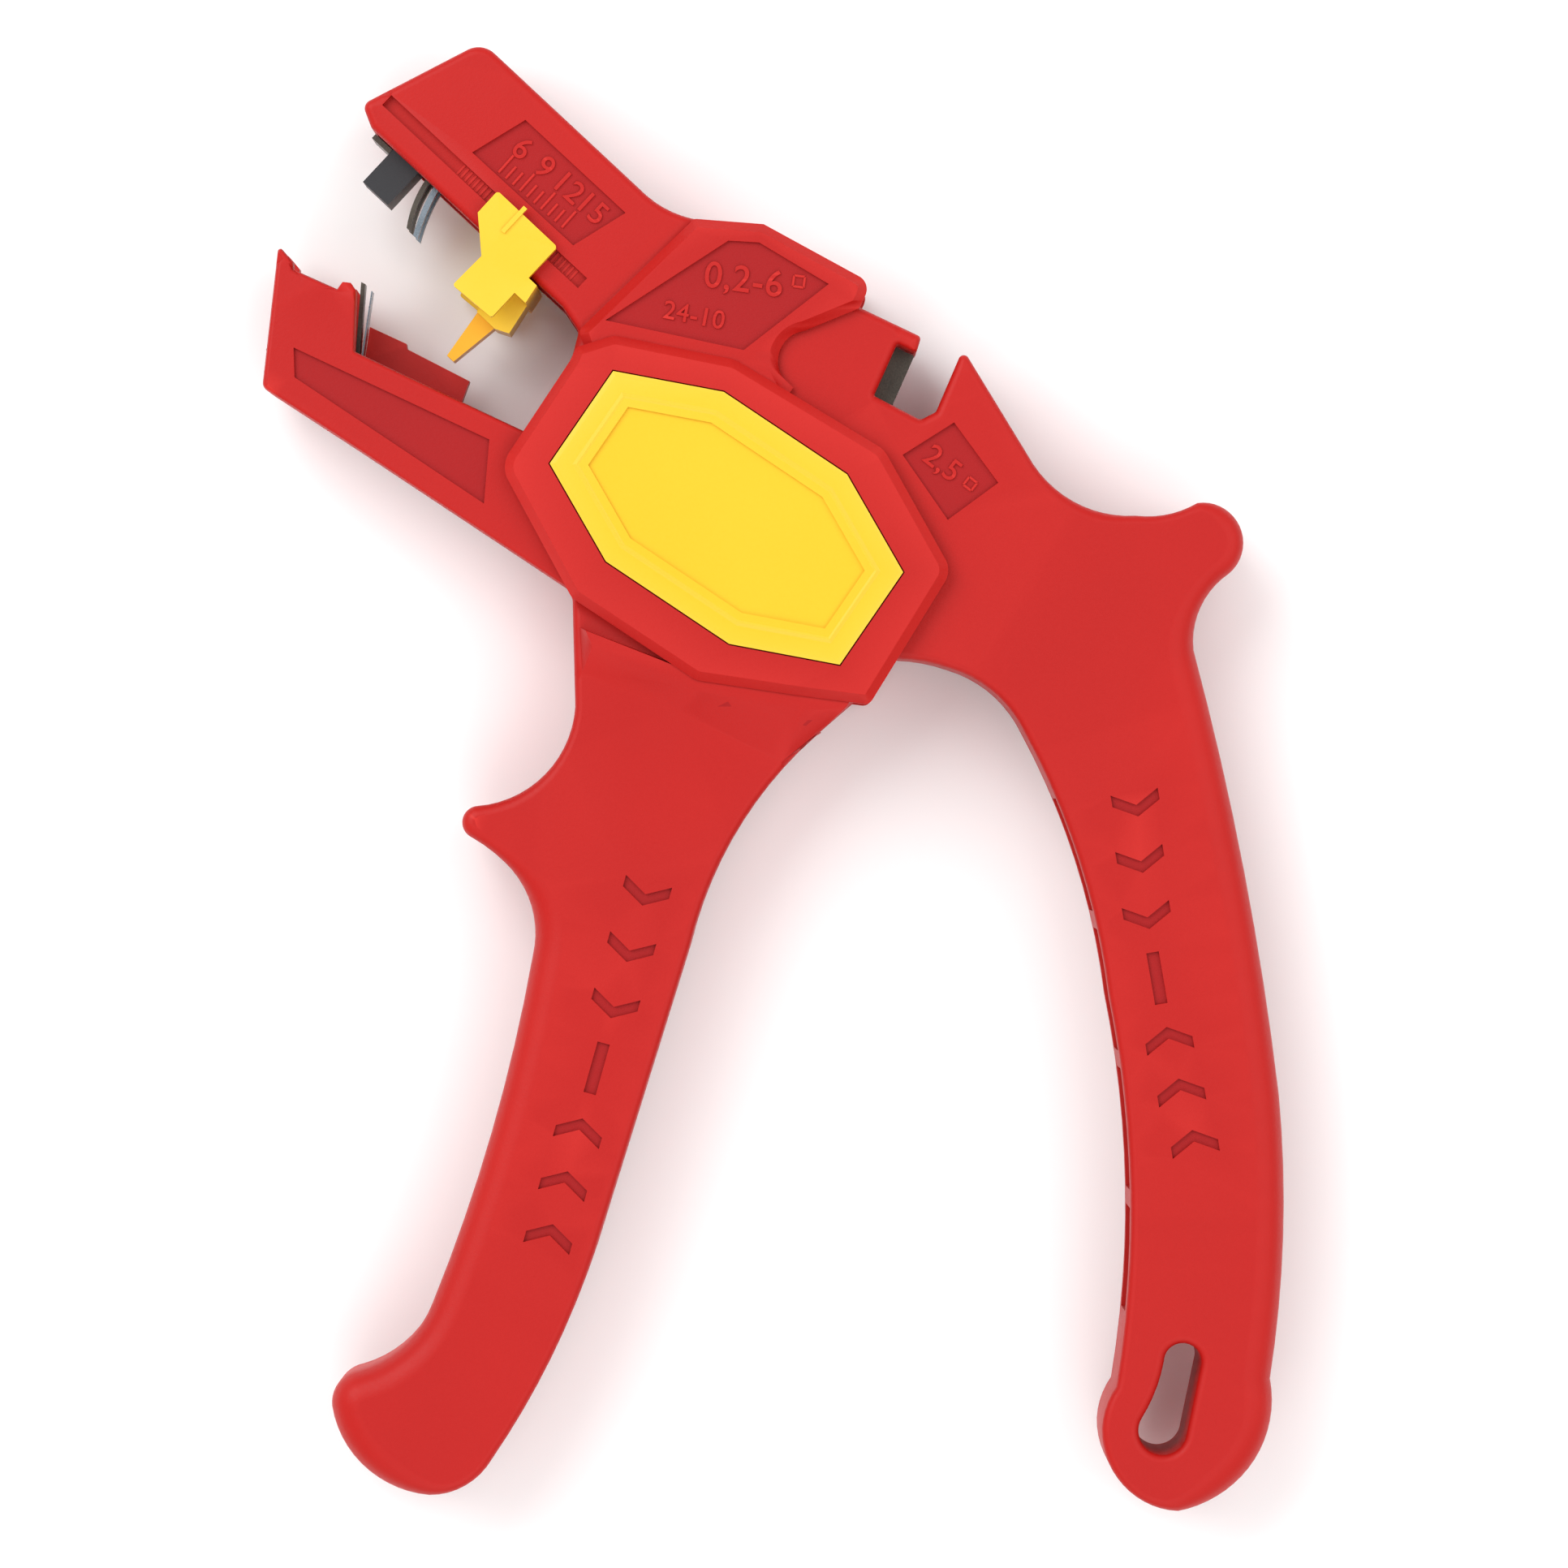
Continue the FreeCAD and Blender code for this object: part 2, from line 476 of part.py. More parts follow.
def lower_jaw():
    body = new_body("lower_jaw")
    extrude(body, "Pad", "jaw_plan", [LOWER_JAW], "Sizes.lever_thick", both=True)
    far_cheek = [(-41.0, 16.5), (-40.2, 22.0), (-36.1, 20.1), (-36.0, 19.5), (-29.0, 15.9), (-30.6, 11.6)]
    extrude(body, "Pad", "far_cheek", [far_cheek], "(" + HALF_LEVER + ") - (" + HALF_CHANNEL + ")",
            up=False, height="-(" + HALF_CHANNEL + ")")
    tongue = [(-15.0, 4.0), (-3.0, 4.96), ("via", 5.8, 0.0), (-3.0, -4.96), (-13.0, -9.0)]
    extrude(body, "Pad", "tongue", [tongue], "Sizes.tongue_thick", both=True)
    for side, sign in ((True, ""), (False, "-")):
        tag = "front" if side else "back"
        extrude(body, "Pocket", "ear_space_" + tag, [((0, 0), "Sizes.hub_radius + Sizes.free_gap")],
                OUTWARDS, up=side, height=sign + "(" + HALF_TONGUE + ")")
    channel = [open_jaw(-64.0, 12.0), open_jaw(-64.0, -5.2), open_jaw(-44.6, -5.2), open_jaw(-44.6, -8.4),
               open_jaw(-27.0, -8.4), open_jaw(-18.0, -6.0), open_jaw(-18.0, 4.0)]
    extrude(body, "Pocket", "channel", [channel], "Sizes.channel_width", both=True)
    extrude(body, "Pocket", "bush_bore", [((0, 0), "Sizes.pin_radius + Sizes.running_gap + Sizes.bush_wall")],
            "Sizes.tongue_thick", both=True)
    extrude(body, "Pocket", "jaw_plate", [JAW_PLATE], OUTWARDS, height=HALF_LEVER + " - Sizes.plate_depth")
    return body


DRIVE_END = "(" + HALF_SLOT + " - Sizes.washer_thick - 2 * Sizes.seat_gap)"
DRIVE_PLACE = turned(jaw(0.0, size("drive_radius")), size("squeeze_angle") / 2)
HANG_SLOT = [(52.6, -93.8), ("via", 50.6, -91.4), (48.5, -93.4), ("via", 47.6, -96.6), (46.0, -99.8),
             ("via", 47.4, -103.6), (51.0, -101.4)]


# ---------------------------------------------------------------- small pieces

def plate(label, points, thickness, height=0.0, up=True, both=False):
    """A flat piece of one outline."""
    body = new_body(label)
    extrude(body, "Pad", label + "_plan", [points], thickness, up=up, height=height, both=both)
    return body


def forked_leaf(label, points):
    """A stripping leaf with two tines, which the lower leaf passes between."""
    body = plate(label, points, "Sizes.blade_width", both=True)
    window = [jaw(-52.0, -3.0), jaw(-52.0, 5.2), jaw(-44.0, 5.2), jaw(-44.0, -3.0)]
    extrude(body, "Pocket", label + "_window", [window], "Sizes.tongue_leaf_width + 0.6", both=True)
    return body


def length_stop():
    body = new_body("length_stop")
    outer = "Sizes.grip_thick + 2 * Sizes.stop_plate_thick + 0.3"
    under = size("jaw_under") - 0.3
    bridge = [jaw(-37.4, 2.2), jaw(-37.4, under), jaw(-32.9, under), jaw(-32.5, 2.2)]
    extrude(body, "Pad", "bridge", [bridge], outer, both=True)
    side_plate = [(-25.3, 36.2, 0.4), (-18.7, 30.0, 0.4), (-26.0, 22.2, 0.3), (-30.3, 25.8, 0.3), (-27.1, 29.0),
                  (-27.5, 33.8)]
    for side, sign in ((True, ""), (False, "-")):
        tag = "near" if side else "far"
        extrude(body, "Pad", "side_plate_" + tag, [side_plate], "Sizes.stop_plate_thick", up=side,
                height=sign + "(" + HALF_GRIP + " + 0.15)")
        rail = [jaw(-42.0, 7.5), jaw(-42.0, 8.8), jaw(-39.6, 8.8), jaw(-39.6, 7.5)]
        extrude(body, "Pad", "rail_" + tag, [rail], "Sizes.stop_rail", up=not side,
                height=sign + "(" + HALF_GRIP + " + 0.25)")
    block = [jaw(-36.2, 2.4), jaw(-32.6, 2.4), jaw(-31.9, -1.4), jaw(-33.4, -2.1), jaw(-36.2, -2.1)]
    extrude(body, "Pad", "block", [block], "Sizes.channel_width - 0.8", both=True)
    spike = [jaw(-36.2, -2.0), jaw(-33.6, -2.0), jaw(-34.4, -7.9), jaw(-35.4, -7.9)]
    extrude(body, "Pad", "spike", [spike], "Sizes.spike_thick", both=True)
    rib = [jaw(-39.95, 6.2), jaw(-39.95, 9.9), jaw(-39.45, 9.9), jaw(-39.45, 6.2)]
    extrude(body, "Pad", "pointer", [rib], "Sizes.pointer_thick",
            height=HALF_GRIP + " + Sizes.stop_plate_thick - 0.35")
    return body


def badge(label, front):
    body = new_body(label)
    sign = "" if front else "-"
    extrude(body, "Pad", label + "_plan", [BADGE], "Sizes.badge_depth + Sizes.badge_proud", up=front,
            height=sign + "(" + BADGE_SEAT + ")")
    top = size("housing_thick") / 2 + size("badge_proud")
    bevel(body, label + "_bevel", top if front else -top, lambda x, y: True, "Sizes.badge_proud")
    extrude(body, "Pocket", label + "_panel", [inset(BADGE, 3.6)], OUTWARDS, up=front,
            height=sign + "(" + HALF_HOUSING + " + Sizes.badge_proud - 0.4)")
    return body


def carriage_upper():
    body = new_body("upper_blade_carriage")
    extrude(body, "Pad", "rail", [[jaw(-50.9, 7.0), jaw(-50.9, 13.0), jaw(-17.5, 13.0), jaw(-17.5, 7.0)]],
            "Sizes.channel_width - 0.6", both=True)
    half_slot = size("drive_pin_radius") + size("drive_slot_gap")
    left = -size("drive_radius") * math.sin(math.radians(size("squeeze_angle") / 2)) - half_slot
    right = left + 2 * half_slot
    wall = size("yoke_wall")
    reach = size("drive_radius") + size("drive_pin_radius") + size("free_gap")
    foot = size("tongue_radius") + 0.5
    yoke = [jaw(-18.0, 7.8), jaw(left - wall, 7.8), jaw(left - wall, foot), jaw(left, foot), jaw(left, reach),
            jaw(right, reach), jaw(right, foot), jaw(right + wall, foot), jaw(right + wall, 11.5),
            jaw(-18.0, 11.5)]
    extrude(body, "Pad", "yoke", [yoke], "Sizes.tongue_thick - 0.4", both=True)
    slot = [jaw(-50.5, 6.5), jaw(-50.5, 8.0), jaw(-48.4, 8.0), jaw(-48.4, 6.5)]
    extrude(body, "Pocket", "blade_slot", [slot], "Sizes.channel_width", both=True)
    return body


def round_piece(label, steps, place=(0, 0)):
    """A stepped round piece of cylinders (radius, from z, to z), given as expressions."""
    parts = []
    for i, (radius, low, high) in enumerate(steps):
        cylinder = doc.addObject("Part::Cylinder", "%s_%d" % (label, i + 1))
        cylinder.setExpression("Radius", radius)
        cylinder.setExpression("Height", "(%s) - (%s)" % (high, low))
        cylinder.setExpression("Placement.Base.z", low)
        cylinder.Placement.Base.x = place[0]
        cylinder.Placement.Base.y = place[1]
        parts.append(cylinder)
    if len(parts) == 1:
        return group(label, parts)
    fuse = doc.addObject("Part::MultiFuse", label)
    fuse.Shapes = parts
    fuse.Label = label
    return fuse


def ring_piece(label, outer, inner, low, high):
    solid = round_piece(label + "_outer", [(outer, low, high)])
    hole = round_piece(label + "_inner", [(inner, low + " - 1", high + " + 1")])
    cut = doc.addObject("Part::Cut", label)
    cut.Base = solid
    cut.Tool = hole
    cut.Label = label
    return cut


def torsion_spring(label, low):
    """A coil about the pivot, its turns just clear of each other."""
    helix = doc.addObject("Part::Helix", label + "_path")
    helix.setExpression("Pitch", SPRING_PITCH)
    helix.setExpression("Height", SPRING_TALL)
    helix.setExpression("Radius", "Sizes.spring_radius")
    circle = doc.addObject("Part::Circle", label + "_wire")
    circle.setExpression("Radius", "Sizes.spring_wire")
    circle.Placement = FreeCAD.Placement(FreeCAD.Vector(size("spring_radius"), 0, 0),
                                         FreeCAD.Rotation(FreeCAD.Vector(1, 0, 0), 90))
    sweep = doc.addObject("Part::Sweep", label + "_coil")
    sweep.Sections = [circle]
    sweep.Spine = (helix, [])
    sweep.Solid = True
    sweep.Frenet = True
    sweep.setExpression("Placement.Base.z", low)
    return group(label, [sweep])


def group(label, objects):
    compound = doc.addObject("Part::Compound", label)
    compound.Links = objects
    compound.Label = label
    return compound


# ---------------------------------------------------------------- the tool

nodes = [
    housing_shell("body_shell_front", True),
    housing_shell("body_shell_rear", False),
    rear_handle(),
    lower_jaw(),
    badge("badge_front", True),
    badge("badge_rear", False),
    length_stop(),
    carriage_upper(),
]

leaf_a = [jaw(-50.4, 8.0), jaw(-50.4, 4.6), ("via",) + jaw(-49.9, 2.6), jaw(-48.3, -0.6), jaw(-47.7, -0.6),
          ("via",) + jaw(-49.3, 2.6), jaw(-49.8, 4.6), jaw(-49.8, 8.0)]
leaf_b = [jaw(-49.2, 8.0), jaw(-49.2, 4.6), ("via",) + jaw(-48.7, 2.8), jaw(-47.2, -0.7), jaw(-46.5, -0.7),
          ("via",) + jaw(-48.0, 2.8), jaw(-48.5, 4.6), jaw(-48.5, 8.0)]
nodes.append(forked_leaf("upper_blade", leaf_b))
nodes.append(forked_leaf("upper_backing_leaf", leaf_a))

shoe = [jaw(-55.3, -0.2), jaw(-55.3, 11.0), jaw(-51.5, 11.0), jaw(-51.5, -0.2)]
nodes.append(plate("clamp_shoe_upper", shoe, "Sizes.channel_width - 0.6", both=True))
under = size("jaw_under")
liner = [jaw(-57.9, under - 0.7), jaw(-57.9, under - 0.1), jaw(-55.35, under - 0.1), jaw(-55.35, under - 0.7)]
nodes.append(plate("clamp_shoe_plate", liner, "Sizes.channel_width - 0.6", both=True))

pad = [open_jaw(-54.4, -5.2), open_jaw(-55.0, 0.5), open_jaw(-50.5, 0.5), open_jaw(-50.5, -5.2)]
nodes.append(plate("clamp_pad_lower", pad, "Sizes.channel_width - 0.1", both=True))
block = [open_jaw(-49.2, -5.0), open_jaw(-49.2, -1.0), open_jaw(-45.8, -1.0), open_jaw(-45.3, -2.3),
         open_jaw(-45.3, -5.0)]
nodes.append(plate("lower_blade_carriage", block, "Sizes.channel_width - 0.4", both=True))
low_leaf = [open_jaw(-48.35, 6.3), open_jaw(-47.85, 6.3), open_jaw(-44.75, -1.7), open_jaw(-45.25, -1.7)]
nodes.append(plate("lower_blade", low_leaf, "Sizes.tongue_leaf_width", both=True))
thin_leaf = [open_jaw(-46.9, 5.9), open_jaw(-46.75, 5.9), open_jaw(-44.4, -1.6), open_jaw(-44.6, -1.6)]
nodes.append(plate("lower_backing_leaf", thin_leaf, "Sizes.tongue_leaf_width", both=True))

nodes.append(plate("cutter_blade", SICKLE, "Sizes.cutter_thick", height="-(Sizes.cutter_thick + Sizes.seat_gap)"))
nodes.append(plate("cutter_anvil", ANVIL, "Sizes.cutter_thick", height="Sizes.seat_gap"))
detent = [jaw(-39.3, 7.6), jaw(-39.3, 8.7), jaw(-35.6, 8.7), jaw(-35.6, 7.6)]
nodes.append(plate("stop_detent_spring", detent, "Sizes.detent_thick", height=HALF_GRIP + " - 0.2"))

HEAD_TOP = "(" + BADGE_SEAT + ")"
HEAD_UNDER = "(" + BADGE_SEAT + " - Sizes.pin_head_thick)"
nodes.append(round_piece("main_pivot_pin", [
    ("Sizes.pin_radius", "-" + HEAD_UNDER, HEAD_UNDER),
    ("Sizes.pin_head_radius", HEAD_UNDER, HEAD_TOP),
    ("Sizes.pin_radius - 0.6", "-" + HEAD_TOP, "-" + HEAD_UNDER),
]))
nodes.append(ring_piece("pivot_retaining_ring", "Sizes.pin_head_radius", "Sizes.pin_radius - 0.55",
                        "-" + HEAD_TOP, "-" + HEAD_UNDER))
nodes.append(ring_piece("pivot_bush", "Sizes.pin_radius + Sizes.running_gap + Sizes.bush_wall",
                        "Sizes.pin_radius + Sizes.running_gap", "-" + HALF_TONGUE, HALF_TONGUE))
WASHER_TOP = "(" + HALF_SLOT + " - 0.05)"
WASHER_LOW = "(" + HALF_SLOT + " - 0.05 - Sizes.washer_thick)"
washers = [
    ring_piece("washer_front", "Sizes.washer_radius", "Sizes.pin_radius + 0.1", WASHER_LOW, WASHER_TOP),
    ring_piece("washer_back", "Sizes.washer_radius", "Sizes.pin_radius + 0.1", "-" + WASHER_TOP, "-" + WASHER_LOW),
]
nodes.append(group("thrust_washers", washers))
nodes.append(round_piece("drive_pin", [("Sizes.drive_pin_radius", "-" + DRIVE_END, DRIVE_END)], DRIVE_PLACE))
spring_low = HALF_TONGUE + " + Sizes.side_play + Sizes.spring_wire + 2 * Sizes.seat_gap"
nodes.append(torsion_spring("handle_return_spring", spring_low))
nodes.append(torsion_spring("jaw_return_spring", "-(" + spring_low + ") - " + SPRING_TALL))
screws = []
for i, place in enumerate(SCREW_PLACES):
    screws.append(round_piece("screw_%d" % (i + 1), [
        ("Sizes.screw_radius", "-(" + HALF_GRIP + " - Sizes.screw_head_deep)", "Sizes.screw_reach"),
        ("Sizes.screw_head_radius", "-(" + HALF_GRIP + " - Sizes.seat_gap)",
         "-(" + HALF_GRIP + " - Sizes.screw_head_deep)"),
    ], place))
nodes.append(group("housing_screws", screws))
doc.recompute()

# ---------------------------------------------------------------- place, check and write

whole = FreeCAD.BoundBox()
for node in nodes:
    whole.add(node.Shape.BoundBox)
shift = FreeCAD.Vector(-whole.Center.x, -whole.Center.y, -whole.ZMin)
for node in nodes:
    node.Placement.Base = node.Placement.Base + shift
doc.recompute()

for item in doc.Objects:
    if "Invalid" in item.State or "Error" in item.State:
        raise RuntimeError("%s failed: %s" % (item.Label, item.State))
for node in nodes:
    if node.Shape.isNull() or not node.Shape.isValid() or not node.Shape.Solids:
        raise RuntimeError("%s has no valid solid" % node.Label)

os.makedirs("parts", exist_ok=True)
for node in nodes:
    node.Shape.exportStep("parts/%s.step" % node.Label)
    print("%-24s %d solid, %8.1f mm3" % (node.Label, len(node.Shape.Solids), node.Shape.Volume))
print("pivot at %.4f %.4f %.4f, box %.2f x %.2f x %.2f" % (shift.x, shift.y, shift.z, whole.XLength,
                                                        whole.YLength, whole.ZLength))
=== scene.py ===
# %% [markdown]
# Wire stripper: the looks around the imported CAD part.
# The frame comes in first. Everything after it is placed from the frame, in metres, so nothing
# has to be fitted by eye. The box of the CAD part is kept; the camera's height is taken from it.

# %% Load the frame
import json
import math

import bmesh
import bpy
import numpy as np
from mathutils import Matrix, Vector
from mathutils.geometry import delaunay_2d_cdt

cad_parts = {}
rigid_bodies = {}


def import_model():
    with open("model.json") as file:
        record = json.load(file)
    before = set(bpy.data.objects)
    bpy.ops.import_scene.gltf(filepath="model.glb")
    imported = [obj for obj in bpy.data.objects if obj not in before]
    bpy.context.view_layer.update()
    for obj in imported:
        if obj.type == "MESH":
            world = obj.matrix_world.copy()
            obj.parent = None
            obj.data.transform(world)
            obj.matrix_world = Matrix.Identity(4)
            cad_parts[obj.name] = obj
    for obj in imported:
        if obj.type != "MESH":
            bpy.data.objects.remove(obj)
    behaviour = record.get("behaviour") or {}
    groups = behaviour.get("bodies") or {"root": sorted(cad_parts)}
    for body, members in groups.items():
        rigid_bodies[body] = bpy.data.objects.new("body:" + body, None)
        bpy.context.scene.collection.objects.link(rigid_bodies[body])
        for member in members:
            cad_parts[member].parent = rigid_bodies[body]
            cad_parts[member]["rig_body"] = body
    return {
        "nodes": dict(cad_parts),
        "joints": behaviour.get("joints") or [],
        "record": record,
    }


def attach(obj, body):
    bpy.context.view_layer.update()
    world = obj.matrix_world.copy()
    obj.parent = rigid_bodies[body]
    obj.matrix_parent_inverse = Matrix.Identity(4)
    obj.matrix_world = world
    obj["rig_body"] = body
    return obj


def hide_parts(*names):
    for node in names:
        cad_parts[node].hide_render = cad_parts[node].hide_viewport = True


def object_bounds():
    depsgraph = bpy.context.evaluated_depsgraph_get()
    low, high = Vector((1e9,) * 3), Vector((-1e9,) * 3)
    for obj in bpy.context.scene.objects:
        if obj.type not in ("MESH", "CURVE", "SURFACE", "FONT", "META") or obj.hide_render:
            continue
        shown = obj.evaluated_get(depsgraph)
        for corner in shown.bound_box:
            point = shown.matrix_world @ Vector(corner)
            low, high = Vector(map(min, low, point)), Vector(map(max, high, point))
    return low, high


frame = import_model()
cad_box = [[float(c) for c in corner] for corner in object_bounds()]
MM = 0.001
hinge = next(joint for joint in frame["joints"] if joint["name"] == "handle_squeeze")
PIVOT = Vector(hinge["pos_m"])

# %% [markdown]
# The tool is laid out about its main pivot, so the small marks are easiest to place in millimetres
# from there. The upper jaw slopes down to the right, and has its own two directions: along it,
# and across it. The stop's slide gives that slope, so it isn't typed in a second time.

# %% Places about the pivot
ALONG = Vector(next(joint for joint in frame["joints"] if joint["name"] == "stop_slide")["axis"])
ACROSS = Vector((-ALONG.y, ALONG.x, 0.0))
JAW_ANGLE = math.atan2(ALONG.y, ALONG.x)


def at(x, y, z=0.0):
    """A point in the frame, from millimetres about the pivot."""
    return PIVOT + Vector((x, y, z)) * MM


def on_jaw(along, above, z=0.0):
    """The same, along and above the upper jaw's own line."""
    return PIVOT + (ALONG * along + ACROSS * above + Vector((0.0, 0.0, z))) * MM


print("jaw slopes", round(math.degrees(JAW_ANGLE), 1), "degrees")

# %% [markdown]
# A finish is a small network of shader nodes. Written node by node it is long and hard to read, so
# a socket is wrapped in a class that understands + - * /. Each operator adds one Math node. Colours
# are blended with Mix nodes instead, because a Math node would turn them grey.

# %% Sockets that do their own maths
class Signal:
    """One socket of a finish."""

    def __init__(self, finish, socket):
        self.finish = finish
        self.socket = socket

    def maths(self, operation, first, second):
        made = self.finish.node("ShaderNodeMath", {"operation": operation}, {0: first, 1: second})
        return Signal(self.finish, made.outputs[0])

    def __add__(self, other):
        return self.maths("ADD", self, other)

    def __radd__(self, other):
        return self.maths("ADD", other, self)

    def __sub__(self, other):
        return self.maths("SUBTRACT", self, other)

    def __rsub__(self, other):
        return self.maths("SUBTRACT", other, self)

    def __mul__(self, other):
        return self.maths("MULTIPLY", self, other)

    def __rmul__(self, other):
        return self.maths("MULTIPLY", other, self)


class Finish:
    """A material with one Principled shader."""

    def __init__(self, name, **constants):
        self.material = bpy.data.materials.new(name)
        self.material.use_nodes = True
        self.tree = self.material.node_tree
        self.shader = self.tree.nodes["Principled BSDF"]
        for socket, value in constants.items():
            self.shader.inputs[socket.replace("_", " ")].default_value = value

    def node(self, kind, settings=None, sockets=None):
        """A node: its type, its settings, then the values or links of its sockets."""
        made = self.tree.nodes.new(kind)
        for name, value in (settings or {}).items():
            if name == "stops":
                for stop, (place, colour) in zip(made.color_ramp.elements, value):
                    stop.position = place
                    stop.color = colour
            else:
                setattr(made, name, value)
        for key, value in (sockets or {}).items():
            if isinstance(value, Signal):
                self.tree.links.new(value.socket, made.inputs[key])
            else:
                made.inputs[key].default_value = value
        return made

    def grain(self, scale, detail=2.0, stretch=None):
        """Noise in the piece's own metres, stretched along an axis if asked."""
        where = self.node("ShaderNodeTexCoord").outputs["Object"]
        if stretch:
            moved = self.node("ShaderNodeVectorMath", {"operation": "MULTIPLY"},
                              {0: Signal(self, where), 1: stretch})
            where = moved.outputs[0]
        noise = self.node("ShaderNodeTexNoise", None,
                          {"Vector": Signal(self, where), "Scale": scale, "Detail": detail})
        return Signal(self, noise.outputs[0])

    def blend(self, factor, low, high):
        mix = self.node("ShaderNodeMix", {"data_type": "RGBA"}, {0: factor, 6: low, 7: high})
        return Signal(self, mix.outputs[2])

    def feed(self, socket, signal):
        self.tree.links.new(signal.socket, self.shader.inputs[socket])

    def bump(self, height, depth, strength):
        made = self.node("ShaderNodeBump", None,
                         {"Height": height, "Distance": depth, "Strength": strength})
        self.feed("Normal", Signal(self, made.outputs[0]))


# %% [markdown]
# The red mouldings are glass-filled polyamide. Up close such plastic is never even: the colour
# drifts a little where the melt flowed, the mould's spark-eroded skin scatters the light, and
# handled edges go paler. Three scales of noise and the edge measure make those.

# %% Moulded plastics
def moulded_plastic(name, low, high, worn, roughness, skin):
    finish = Finish(name, Specular_IOR_Level=0.24)
    drift = finish.grain(38.0, 3.0)
    speckle = finish.grain(2600.0, 2.0)
    fine = finish.grain(7200.0, 1.0)
    edges = finish.node("ShaderNodeValToRGB", {"stops": [(0.50, (0, 0, 0, 1)), (0.62, (1, 1, 1, 1))]},
                        {0: Signal(finish, finish.node("ShaderNodeNewGeometry").outputs["Pointiness"])})
    wear = Signal(finish, edges.outputs[0])
    body = finish.blend(drift * 0.8 + speckle * 0.2, low, high)
    finish.feed("Base Color", finish.blend(wear * 0.35, body, worn))
    finish.feed("Roughness", roughness + (speckle - 0.5) * 0.14 + (drift - 0.5) * 0.08)
    finish.bump(speckle * 0.6 + fine * 0.4, 0.00006, skin)
    return finish.material


RED = moulded_plastic("red_moulding", (0.40, 0.005, 0.004, 1), (0.50, 0.008, 0.005, 1),
                      (0.78, 0.04, 0.03, 1), 0.46, 0.45)
RED_SUNKEN = moulded_plastic("red_sunken_plate", (0.31, 0.003, 0.004, 1), (0.39, 0.005, 0.006, 1),
                             (0.52, 0.015, 0.015, 1), 0.55, 0.65)
YELLOW = moulded_plastic("yellow_moulding", (0.80, 0.47, 0.014, 1), (0.85, 0.53, 0.02, 1),
                         (0.90, 0.62, 0.08, 1), 0.36, 0.25)
# Painted shade: a deeper, darker yellow for the stop's spike, which lies in shade.
SHADED_YELLOW = moulded_plastic("yellow_painted_shade", (0.78, 0.33, 0.012, 1), (0.85, 0.42, 0.018, 1),
                        (0.90, 0.50, 0.04, 1), 0.38, 0.25)
BLACK = moulded_plastic("black_moulding", (0.010, 0.010, 0.012, 1), (0.022, 0.022, 0.025, 1),
                        (0.06, 0.06, 0.065, 1), 0.46, 0.50)
print("plastics", [m.name for m in (RED, RED_SUNKEN, YELLOW, SHADED_YELLOW, BLACK)])

# %% [markdown]
# Steel shows how it was worked. Ground leaves have fine lines one way, blackened steel keeps a
# mottled skin, and drawn wire or plated pins are smoother. One recipe serves them all, with the
# lines stretched along one axis and a slower mottling under them.

# %% Worked metals
def worked_metal(name, low, high, roughness, stretch, line_depth):
    finish = Finish(name, Metallic=1.0)
    lines = finish.grain(900.0, 3.0, stretch)
    mottle = finish.grain(240.0, 4.0)
    finish.feed("Base Color", finish.blend(lines * 0.5 + mottle * 0.5, low, high))
    finish.feed("Roughness", roughness + (lines - 0.5) * 0.20 + (mottle - 0.5) * 0.12)
    finish.bump(lines, 0.00002, line_depth)
    return finish.material


EVEN = (1.0, 1.0, 1.0)
LINES_THROUGH = (6.0, 6.0, 0.4)
LINES_ROUND = (1.0, 1.0, 8.0)
METALS = {
    "blade_steel": worked_metal("blued_spring_steel", (0.12, 0.15, 0.18, 1), (0.28, 0.32, 0.36, 1),
                                0.30, LINES_THROUGH, 0.5),
    "dark_steel": worked_metal("blackened_steel", (0.035, 0.032, 0.030, 1), (0.13, 0.11, 0.09, 1),
                               0.36, LINES_THROUGH, 0.6),
    "spring_steel": worked_metal("drawn_wire", (0.42, 0.42, 0.43, 1), (0.60, 0.60, 0.60, 1),
                                 0.28, LINES_ROUND, 0.3),
    "zinc_steel": worked_metal("zinc_plating", (0.50, 0.52, 0.54, 1), (0.68, 0.69, 0.70, 1),
                               0.32, LINES_ROUND, 0.3),
    "bronze": worked_metal("sintered_bronze", (0.38, 0.22, 0.09, 1), (0.58, 0.38, 0.18, 1),
                           0.42, EVEN, 0.6),
}
print("metals", sorted(METALS))

# %% [markdown]
# A moulding's edges are never sharp. The CAD keeps them square, so they are rounded here, on a copy
# that stands for the CAD piece. A Bevel modifier folds over itself where a broad bevel meets a
# tight bend, so the flat face is laid out afresh instead: rows of points follow the rim inwards,
# a triangulation that keeps every outline joins them, and each point sinks by a quarter circle
# measured from the nearest rim. Nothing can fold, because points only move down. The first job is
# to find the rims: the edges of a flat face that have a tall wall below them.

# %% Find the rims of a flat face
FLAT = 0.99
UPRIGHT = 0.2
TALL_WALL = 2.5 * MM
LEVEL_REACH = 0.02


def wall_height(face):
    heights = [corner.co.z for corner in face.verts]
    return max(heights) - min(heights)


def level_faces(shape, level, side):
    """The flat faces at a height on one side of the tool."""
    return [face for face in shape.faces if abs(face.normal.z) > FLAT and
            all(abs((v.co.z - PIVOT.z) * side / MM - level) < LEVEL_REACH for v in face.verts)]


def borders(shape, flat):
    """The edges round some faces, in the mesh's own order, so that each run gives the same mesh."""
    return [edge for edge in shape.edges if sum(face in flat for face in edge.link_faces) == 1]


def rim_wall(edge, flat):
    """The tall wall below a convex edge of the flat face, or None."""
    walls = [face for face in edge.link_faces if face not in flat]
    if len(edge.link_faces) != 2 or len(walls) != 1 or not edge.is_convex:
        return None
    wall = walls[0]
    return wall if abs(wall.normal.z) < UPRIGHT and wall_height(wall) > TALL_WALL else None


print("a rim has a wall over", TALL_WALL / MM, "mm tall")

